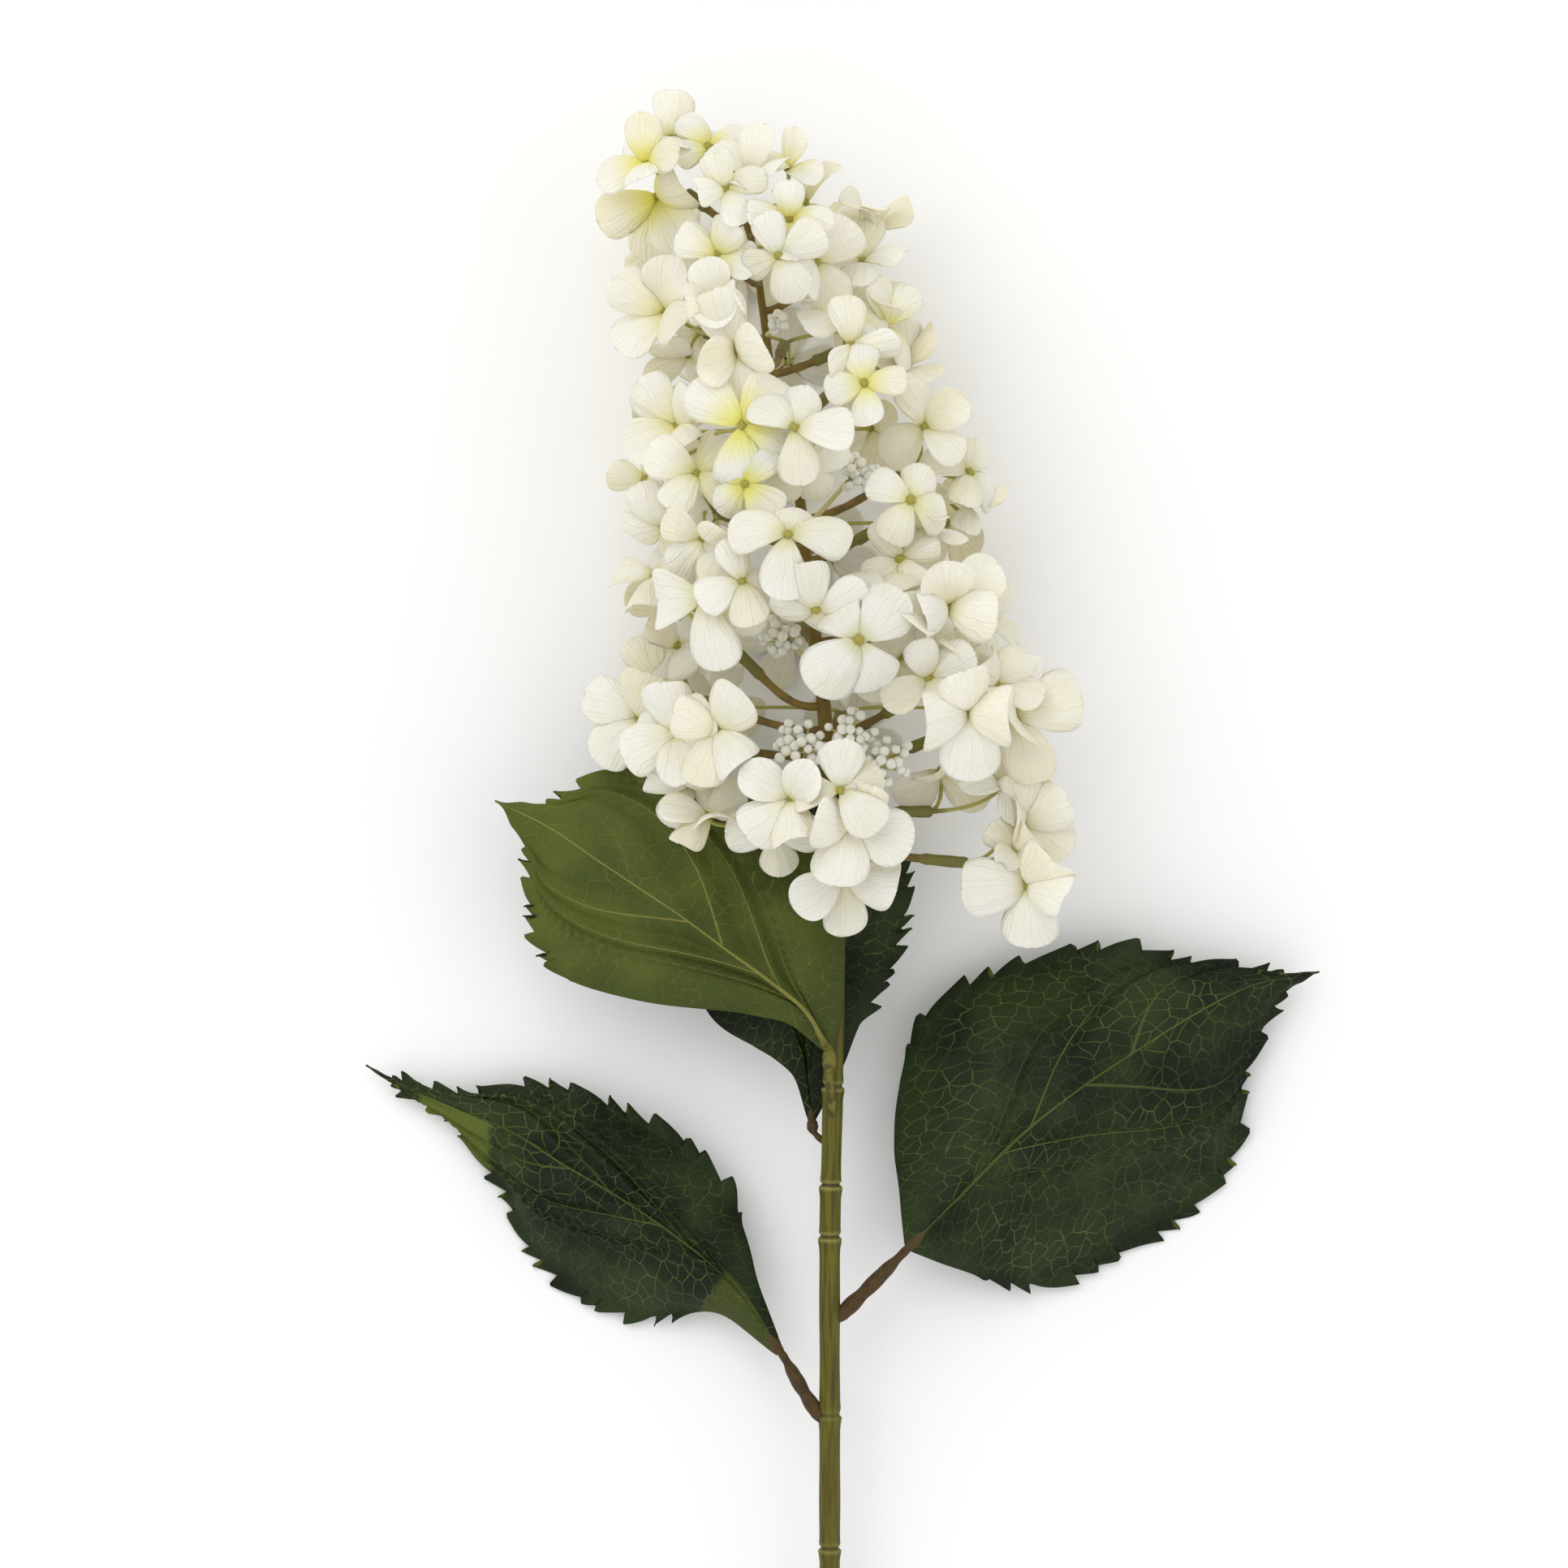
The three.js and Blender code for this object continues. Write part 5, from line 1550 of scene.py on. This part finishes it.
@dataclass(frozen=True)
class BackRule:
    """How the florets of the underside are placed: rows of three, the middle one pressed flat.

    Attributes:
        rows: Number of rows, from the head's tip down.
        first_y: Place of the first row.
        step_y: Distance from row to row.
        span: Width of each floret.
        fork_z: Height of the branches' forks.
        rest: Height of the middle floret where it lies on the surface.
        raised: Its height in every other row.
        outer_z: Height of the outer florets, and what a draw adds to it.
        offset_y: How far the middle floret and the outer ones are moved off the row.
        scatter_y: Range over which a draw moves each of them.
        shares: Places of a row's florets, as shares of half the head's width.
        stagger: Share by which the rows are shifted to alternate sides.
        lean: How far the outer florets face outwards.
        root_behind: How far down the axis a branch leaves it.
        fork_aside: How far its fork lies to the side of the axis.
        half_width: Half the head's width at distances along the spray.
    """

    rows: int = 6
    first_y: float = 262.0
    step_y: float = 31.0
    span: float = 34.0
    fork_z: float = 27.0
    rest: float = 0.35
    raised: float = 4.0
    outer_z: tuple = (13, 4)
    offset_y: tuple = (-6, 4)
    scatter_y: float = 4.0
    shares: tuple = (-0.66, 0.0, 0.66)
    stagger: float = 0.14
    lean: float = 0.55
    root_behind: float = 8.0
    fork_aside: float = 5.0
    half_width: tuple = (
        (53, 45), (75, 62), (102, 70), (129, 62), (183, 58), (210, 48), (264, 40), (300, 30),
    )

    def branches(self) -> list:
        """Place the branches of the underside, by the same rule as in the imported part.

        Returns:
            List of branches.
        """
        made = []
        for row in range(self.rows):
            y = self.first_y - self.step_y * row
            axis = AXIS.at(y - self.root_behind)[0]
            half = float(np.interp(y, *zip(*self.half_width)))
            side = 1 if row % 2 else -1
            lowest = self.rest if row % 2 else self.raised
            florets = []
            for k, share in enumerate(self.shares):
                low = share == 0
                x = float(axis[0] + half * (share + self.stagger * side))
                place_y = y + self.offset_y[0 if low else 1] + self.scatter_y * (draw(row, k + 20) - 0.5)
                z = lowest if low else self.outer_z[0] + self.outer_z[1] * draw(row, k + 30)
                tilt = (0.0, 0.0) if low else (math.copysign(self.lean, share), 0.1)
                turn = 90 * draw(row, k + 40)
                florets.append(Floret((x, place_y, z), tilt, turn, self.span, down=True, pressed=low))
            fork = (float(axis[0] + self.fork_aside * side), y, self.fork_z)
            made.append(Branch(y - self.root_behind, fork, tuple(florets)))
        return made


@dataclass(frozen=True)
class PetalShape:
    """The form of one petal: a spoon-like oval blade on a narrow claw.

    But for the first two and the last three, the sizes are shares of the petal's length. Where two
    are given and no more is said, the second is what the petal's own draw adds to the first.

    Attributes:
        rows: Rows of points along a petal.
        columns: Columns of points across it.
        width: Half its width.
        width_share: Share of that width which a petal gets.
        claw: Half the width at its foot.
        roundness: Power that rounds the outline's far end.
        cup: How far the sides rise or sink.
        cup_back: The same for the petals that are cupped the other way.
        cupped_share: Share of the petals that have the first cup.
        arch: Rise and fall of the middle line.
        lift: How much the petals differ in their rise.
        curl: How much their tips differ.
        twist: How much they are turned about their length.
        sway: How far they bend sideways.
        pleat: Height of the lengthways pleats.
        rim_wave: Height of the waves at the rim.
        crease: Depth and width of the crease along the middle.
        over: How far every other petal lies above its neighbours.
        flat_rise: Height of the petals of a floret that is pressed flat.
        thick: Thickness of the cloth.
        far_end: Greatest y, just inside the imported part.
        low_end: Least height above the surface.
    """

    rows: int = 16
    columns: int = 13
    width: float = 0.4
    width_share: tuple = (0.87, 0.28)
    claw: float = 0.045
    roundness: tuple = (2.2, 2.2)
    cup: tuple = (0.6, 1.5)
    cup_back: float = -0.8
    cupped_share: float = 0.82
    arch: tuple = (0.55, 0.5)
    lift: float = 0.16
    curl: float = 0.75
    twist: float = 0.6
    sway: float = 0.16
    pleat: float = 0.014
    rim_wave: float = 0.03
    crease: tuple = (0.032, 0.17)
    over: float = 0.014
    flat_rise: float = 0.02
    thick: float = 0.3
    far_end: float = 313.9
    low_end: float = 0.22

    def half_width(self, a: np.ndarray, chance: np.ndarray) -> np.ndarray:
        """Work out half the width along each petal.

        It is a^0.75 sqrt(1 - a^n), as a share of its greatest, where n is drawn from a range that
        gives pointed and round tips, and a narrow claw at the foot.

        Args:
            a: Share along the petal.
            chance: The petals' draws.

        Returns:
            Array of petals x rows x 1.
        """
        round_tip = a ** (self.roundness[0] + self.roundness[1] * chance[9])
        outline = a**0.75 * np.sqrt(np.maximum(1 - round_tip, 0.002))
        outline = outline / outline.max(axis=1, keepdims=True)
        widest = self.width * (self.width_share[0] + self.width_share[1] * chance[0])
        return widest * outline + self.claw * (1 - a)

    def height(
        self, a: np.ndarray, b: np.ndarray, along: np.ndarray, side: np.ndarray, chance: np.ndarray
    ) -> np.ndarray:
        """Work out the height of each petal above the floret's middle.

        It rises with the way along and falls with its square, less cup x side^2, with the petal's
        own lift, tip curl, twist, lengthways pleats, a crease and waves at the rim.

        Args:
            a: Share along the petal.
            b: Share across it, from -1 to 1.
            along: Way along the petal.
            side: Way to its side.
            chance: The petals' draws.

        Returns:
            Array of petals x rows x columns.
        """
        cup = self.cup[0] + self.cup[1] * chance[2]
        cup = np.where(chance[2] < self.cupped_share, cup, self.cup_back)
        height = self.arch[0] * along - self.arch[1] * along**2 - cup * side**2
        height = height + self.lift * (chance[8] - 0.45) * a
        height = height + self.curl * (chance[3] - 0.45) * np.maximum(a - 0.4, 0) ** 2
        height = height + self.twist * (chance[4] - 0.5) * side * a
        start = 6.3 * chance
        height = height + self.pleat * np.sin(b * 8.5 + start[6]) * a * (1.2 - a)
        waves = np.sin(a * 7.0 + start[5] + 2.0 * np.sign(b)) * a**2 * np.abs(b) ** 3
        depth, breadth = self.crease
        crease = depth * bell(b, 0, breadth) * a * (1 - 0.6 * a)
        return height + self.rim_wave * waves - crease

    def grids(self, floret: Floret, seed: int) -> tuple:
        """Work out the four petals of a floret: laid out flat, raised, folded and set in place.

        Args:
            floret: The floret.
            seed: Number of the floret for its draws.

        Returns:
            Array of petals x rows x columns x 3, and the petals' own coordinates.
        """
        face, right, up = floret.frame()
        angles = floret.petal_angles(seed)
        length = floret.span / 2 * (0.94 + 0.12 * draws(seed, 10, 4))
        # The ten draws of a petal, 0 to 9, are for its width, length, cup, curl, twist, the start of
        # its waves and of its pleats, its sway, lift and tip
        chance = draws(seed, 50, 40).reshape(10, 4)[:, :, None, None]
        a = np.sin(np.linspace(0, 1, self.rows) * math.pi / 2)[None, :, None]
        b = np.linspace(-1, 1, self.columns)[None, None, :]
        side = b * self.half_width(a, chance)
        along = a * (1 + 0.06 * (chance[1] - 0.5)) + 0.03
        height = self.flat_rise if floret.pressed else self.height(a, b, along, side, chance)
        height = height + np.array([0.0, self.over, 0.0, self.over])[:, None, None]
        radial = right[None] * np.cos(angles)[:, None] + up[None] * np.sin(angles)[:, None]
        across = np.cross(face[None], radial)
        reach = length[:, None, None]
        fold = floret.petal_folds(seed)[:, None, None]
        out = along * np.cos(fold) - height * np.sin(fold)
        rise = along * np.sin(fold) + height * np.cos(fold)
        bend = side + self.sway * (chance[7] - 0.5) * a**2
        grid = np.asarray(floret.at)[None, None, None] + radial[:, None, None] * (out * reach)[..., None]
        grid = grid + across[:, None, None] * (bend * reach)[..., None]
        grid = grid + face[None, None, None] * (rise * reach)[..., None]
        grid[..., 2] = np.maximum(grid[..., 2], self.low_end)
        grid[..., 1] = np.minimum(grid[..., 1], self.far_end)
        shape = grid.shape[:3]
        return grid, np.broadcast_to(0.5 + side, shape), np.broadcast_to(a, shape)


@dataclass(frozen=True)
class FlowerBranch:
    """A side branch with its sleeve, pedicels, nubs and petals.

    Attributes:
        branch: Its root, fork and florets.
        number: Its number, from 0.
        branch_radius: Radius of the bare branch.
        sleeve_radius: Radius of its sleeve.
        sleeve: Shares of the branch over which the sleeve starts and ends.
        lips: Shares at which the sleeve has a lip, and the lips' width.
        lip: How far a lip stands out.
        pedicel_radius: Radius of a pedicel.
        clearance: Gap between the axis and the point from which the branch curves.
        rooted: How far the branch is carried back from that point, into the axis.
        nub_radius: Radius of a floret's nub.
        nub_lobes: How strongly the nub is lobed.
        nub_height: Half its height, as a share of its radius.
        nub_lift: How far its middle lies above the floret's, as a share of its radius.
        nub_rest: Its least height above the surface.
        painted_shade_below_z: Height below which petals are painted darker and creamier, as painted shade
            deep in the head.
        petal: Form of the petals.
    """

    branch: Branch
    number: int
    branch_radius: float = 1.35
    sleeve_radius: float = 1.95
    sleeve: tuple = ((0.6, 0.63), (0.97, 1.0))
    lips: tuple = (0.63, 0.95, 0.015)
    lip: float = 0.12
    pedicel_radius: float = 0.72
    clearance: float = 0.35
    rooted: float = 0.9
    nub_radius: float = 1.5
    nub_lobes: float = 0.18
    nub_height: float = 0.75
    nub_lift: float = 0.45
    nub_rest: float = 0.15
    painted_shade_below_z: float = 80.0
    petal: PetalShape = PetalShape()

    def limb_line(self) -> tuple:
        """Work out the branch: square out of the axis, then up to the fork.

        Returns:
            Places along it, the way from the axis to the fork, and the way square out of the axis.
        """
        middle, radius, along = AXIS.at(self.branch.root)
        fork = np.asarray(self.branch.fork, dtype=float)
        away = fork - middle
        radial = unit(away - along * float(away @ along))
        start = middle + radial * (radius + self.clearance)
        length = float(np.linalg.norm(fork - start))
        outward = unit(away)
        ends = [start, start + radial * 0.35 * length, fork - outward * 0.3 * length, fork]
        return bezier(ends, np.linspace(0, 1, 40)), outward, radial

    def pedicel_line(self, floret: Floret, outward: np.ndarray) -> np.ndarray:
        """Work out a pedicel from the fork to the floret's middle.

        Args:
            floret: The floret at its end.
            outward: Direction in which the branch reaches the fork.

        Returns:
            Places along it.
        """
        face = floret.frame()[0]
        middle = np.asarray(floret.at, dtype=float)
        fork = np.asarray(self.branch.fork, dtype=float)
        reach = float(np.linalg.norm(fork - middle))
        ends = [fork - outward * 1.5, fork + outward * 0.35 * reach, middle - face * 0.4 * reach, middle]
        return bezier(ends, np.linspace(0, 1, 26))

    def add_limbs(self, skin: Skin) -> None:
        """Add the branch, its sleeve and the pedicels to a skin.

        Args:
            skin: The limbs in the making.
        """
        line, outward, radial = self.limb_line()
        share = np.linspace(0, 1, len(line))
        line = np.vstack([line[0] - radial * self.rooted, line])
        share = np.concatenate([[0], share])
        sleeve = between(share, *self.sleeve)
        low_lip, high_lip, width = self.lips
        lip = self.lip * (bell(share, low_lip, width) + bell(share, high_lip, width))
        radius = self.branch_radius + (self.sleeve_radius - self.branch_radius) * sleeve + lip
        radius = radius + 0.08 * np.sin(share * 23.0 + self.number)
        way = smooth_step(0.55, 0.66, share)
        kind = Kind.BRANCH.value + (Kind.SLEEVE.value - Kind.BRANCH.value) * way
        skin.add_tube(line, radius, 14, {"kind": kind})
        for k, floret in enumerate(self.branch.florets):
            path = self.pedicel_line(floret, outward)
            share = np.linspace(0, 1, len(path))
            taper = np.interp(share, [0, 0.1, 0.6, 0.93, 1], [1.25, 1.0, 0.85, 0.95, 1.6])
            wave = 0.05 * np.sin(share * 17.0 + k)
            paler = (Kind.PEDICEL.value - Kind.SLEEVE.value) * smooth_step(0.0, 0.35, share)
            kind = Kind.SLEEVE.value + paler
            skin.add_tube(path, self.pedicel_radius * taper + wave, 10, {"kind": kind})

    def add_nub(self, skin: Skin, floret: Floret, seed: int) -> None:
        """Add the small four-lobed nub in a floret's middle.

        A flat ball whose radius swells four times round it: r (1 + lobes cos 4t) sin p, at the
        height of -r x height x cos p.

        Args:
            skin: The limbs in the making.
            floret: The floret.
            seed: Number of the floret for its draws.
        """
        face, right, up = floret.frame()
        polar = np.linspace(0.03, math.pi - 0.03, 9)[:, None]
        turn = np.linspace(0, 2 * math.pi, 16, endpoint=False)[None]
        size = self.nub_radius * (0.85 + 0.3 * draw(seed, 90))
        first = float(floret.petal_angles(seed)[0])
        radius = size * np.sin(polar) * (1 + self.nub_lobes * np.cos(4 * (turn - first)))
        level = -self.nub_height * size * np.cos(polar) + 0 * turn
        grid = np.asarray(floret.at)[None, None] + face * (level + self.nub_lift * size)[..., None]
        grid = grid + right * (radius * np.cos(turn))[..., None] + up * (radius * np.sin(turn))[..., None]
        grid[..., 2] = np.maximum(grid[..., 2], self.nub_rest)
        skin.add_grid(grid, ball_uv(turn, polar), {"kind": Kind.NUB.value}, wrap=True)

    def build(self, limb: bpy.types.Material, cloth: bpy.types.Material) -> None:
        """Make the branch's two pieces.

        Args:
            limb: Finish of branch, sleeve, pedicels and nubs.
            cloth: Finish of the petals.
        """
        node = f"flower_branch_{self.number + 1:02d}"
        limbs = Skin()
        petals = Skin()
        self.add_limbs(limbs)
        for k, floret in enumerate(self.branch.florets):
            seed = self.number * 10 + k
            self.add_nub(limbs, floret, seed)
            grids, across, along = self.petal.grids(floret, seed)
            # Painted shade: the lower a floret lies, the more cream and the darker its petals are given; the
            # draws add a random tone to each petal
            depth = max(0.0, 1 - floret.at[2] / self.painted_shade_below_z)
            tones_and_painted_shade = 0.5 * draws(seed, 80, 4) + 0.35 * depth
            for grid, x, y, shade in zip(grids, across, along, tones_and_painted_shade):
                values = {"tint": floret.yellow, "shade": float(shade)}
                petals.add_shell(grid, self.petal.thick, np.stack([x, y], axis=-1), values, values)
        finish_piece(limbs.build(node + "_limbs", limb), node)
        finish_piece(petals.build(node + "_petals", cloth), node)


@dataclass(frozen=True)
class BudTuft:
    """A tuft of round bud beads on thin stalks, on a branchlet of the axis.

    Attributes:
        root: Where it leaves the axis, as y.
        at: Middle of its dome.
        radius: Radius of the dome.
        beads: Number of beads.
        bead_radius: Radius of a bead.
        sunk: How far the branchlet starts inside the axis.
        stalk: Radius of the branchlet at its foot and its end.
        thread: Radius of a bead's own stalk at its foot and its end.
    """

    root: float
    at: tuple
    radius: float
    beads: int
    bead_radius: float = 1.7
    sunk: float = 0.04
    stalk: tuple = (0.95, 0.8)
    thread: tuple = (0.42, 0.3)

    def build(self, number: int, material: bpy.types.Material) -> None:
        """Make the tuft.

        The beads lie on a shallow dome, each a golden angle on from the last, at a distance that
        grows with the root of its number.

        Args:
            number: Number of the tuft.
            material: Its finish.
        """
        middle, radius, along = AXIS.at(self.root)
        centre = np.asarray(self.at, dtype=float)
        away = centre - middle
        radial = unit(away - along * float(away @ along))
        start = middle + radial * (radius - self.sunk)
        outward = unit(away)
        hub = centre - outward * self.radius * 0.8
        skin = Skin()
        stalk_line = bezier([start, start + radial * 3, hub - outward * 3, hub], np.linspace(0, 1, 16))
        skin.add_tube(stalk_line, np.linspace(*self.stalk, 16), 10, {"kind": BudKind.STALK.value})
        for k in range(self.beads):
            seed = number * 20 + k
            share = (k + 0.5) / self.beads
            lean = math.sqrt(share) * self.radius * (0.85 + 0.25 * draw(seed, 3))
            turn = k * GOLDEN_ANGLE + number + 0.8 * (draw(seed, 4) - 0.5)
            lift = self.radius * (0.35 - 0.6 * share) + 3 * (draw(seed, 1) - 0.5)
            bead = centre + np.array([lean * math.cos(turn), lean * math.sin(turn), lift])
            bow = [hub, hub + outward * self.radius * 0.4, bead * 0.7 + hub * 0.3, bead]
            path = bezier(bow, np.linspace(0, 1, 8))
            skin.add_tube(path, np.linspace(*self.thread, 8), 6, {"kind": BudKind.THREAD.value})
            self.add_bead(skin, bead, self.bead_radius * (0.85 + 0.3 * draw(seed, 2)), k)
        piece = skin.build(f"bud_tuft_{number + 1}_beads", material)
        finish_piece(piece, f"bud_tuft_{number + 1}")

    def add_bead(self, skin: Skin, bead: np.ndarray, size: float, turn_seed: int) -> None:
        """Add one bead: a ball with four faint lobes and a small dimple at its crown.

        Args:
            skin: The tuft in the making.
            bead: Middle of the bead.
            size: Its radius.
            turn_seed: What its lobes are turned by, in radians.
        """
        polar = np.linspace(0.04, math.pi - 0.04, 10)[:, None]
        turn = np.linspace(0, 2 * math.pi, 14, endpoint=False)[None]
        dent = 1 - 0.16 * bell(polar, math.pi, 0.4)
        lobes = 1 + 0.03 * np.cos(4 * turn + turn_seed) * np.sin(polar)
        radius = size * np.sin(polar) * lobes
        level = -size * np.cos(polar) * dent + 0 * turn
        grid = bead + np.stack([radius * np.cos(turn), radius * np.sin(turn), level], axis=-1)
        skin.add_grid(grid, ball_uv(turn, polar), {"kind": BudKind.BEAD.value}, wrap=True)


BUD_TUFTS = (
    BudTuft(125, (-21, 133, 61), 7.5, 20),
    BudTuft(92, (-14, 97, 68), 9, 24),
    BudTuft(90.5, (3, 101, 70), 8, 20),
    BudTuft(82, (14, 92, 66), 9, 22),
    BudTuft(170, (5, 187, 68), 7, 16),
    BudTuft(233, (-21, 237, 60), 3.5, 6),
)


@dataclass(frozen=True)
class Studio:
    """The camera that looks down on the spray, and soft light.

    Attributes:
        photo_span: Width of the spray's level that the photo shows.
        view_x: Place of the photo's middle across the spray.
        view_y: Place of the photo's middle along it.
        level: Height of the level that the camera is set for.
        distance: Height of the camera above it.
        sensor: Width of the camera's sensor.
        surroundings: Strength of the even white light from all round.
        lamps: Name, place and side in metres, and power in watts, of each lamp.
        aim: What the lamps point at, in metres.
    """

    photo_span: float = 521.6
    view_x: float = -19.3
    view_y: float = 84.1
    level: float = 40.0
    distance: float = 3000.0
    sensor: float = 36.0
    surroundings: float = 0.75
    lamps: tuple = (
        ("key", (-0.8, 1.2, 1.8), 2.1, 18.5),
        ("fill", (1.5, -0.2, 1.5), 1.9, 6.0),
        ("low", (-0.6, -1.6, 1.2), 1.6, 4.0),
    )
    aim: tuple = (0.0, 0.08, 0.03)

    def build(self) -> None:
        """Make the camera, the lamps and the even white surroundings."""
        scene = bpy.context.scene
        camera = bpy.data.cameras.new("camera")
        camera.sensor_width = self.sensor
        camera.lens = self.sensor * self.distance / self.photo_span
        camera.clip_end = 50
        made = add_object("camera", camera)
        made.location = (self.view_x * METRE, self.view_y * METRE, (self.level + self.distance) * METRE)
        scene.camera = made
        for row in self.lamps:
            self.lamp(*row)
        world = bpy.data.worlds.new("studio")
        world.use_nodes = True
        background = world.node_tree.nodes["Background"]
        background.inputs["Color"].default_value = (1.0, 1.0, 1.0, 1.0)
        background.inputs["Strength"].default_value = self.surroundings
        scene.world = world
        scene.view_settings.view_transform = "Standard"

    def lamp(self, name: str, place: tuple, size: float, power: float) -> None:
        """Make one square soft lamp that points at the spray.

        Args:
            name: Its name.
            place: Where it hangs, in metres.
            size: Its side, in metres.
            power: Its power in watts.
        """
        light = bpy.data.lights.new(name, "AREA")
        light.size = size
        light.energy = power
        made = add_object(name, light)
        made.location = place
        way = np.asarray(self.aim) - np.asarray(place)
        flat = math.hypot(way[0], way[1])
        made.rotation_euler = (math.atan2(flat, -way[2]), 0.0, math.atan2(way[1], way[0]) - math.pi / 2)


def main() -> None:
    """Build the spray around its frame, then the surface, the light and the camera."""
    logging.basicConfig(level=logging.INFO, format="%(name)s %(message)s")
    Stem().build(StemPlastic().make())
    leaf_cloth = LeafCloth().make()
    for leaf in LEAVES:
        leaf.build(leaf_cloth)
    limb = LimbPlastic().make()
    cloth = PetalCloth().make()
    for number, branch in enumerate([*FRONT_BRANCHES, *BackRule().branches()]):
        FlowerBranch(branch, number).build(limb, cloth)
    beads = BudPlastic().make()
    for number, tuft in enumerate(BUD_TUFTS):
        tuft.build(number, beads)
    PaleFloor().make()
    Studio().build()


if __name__ == "__main__":
    main()
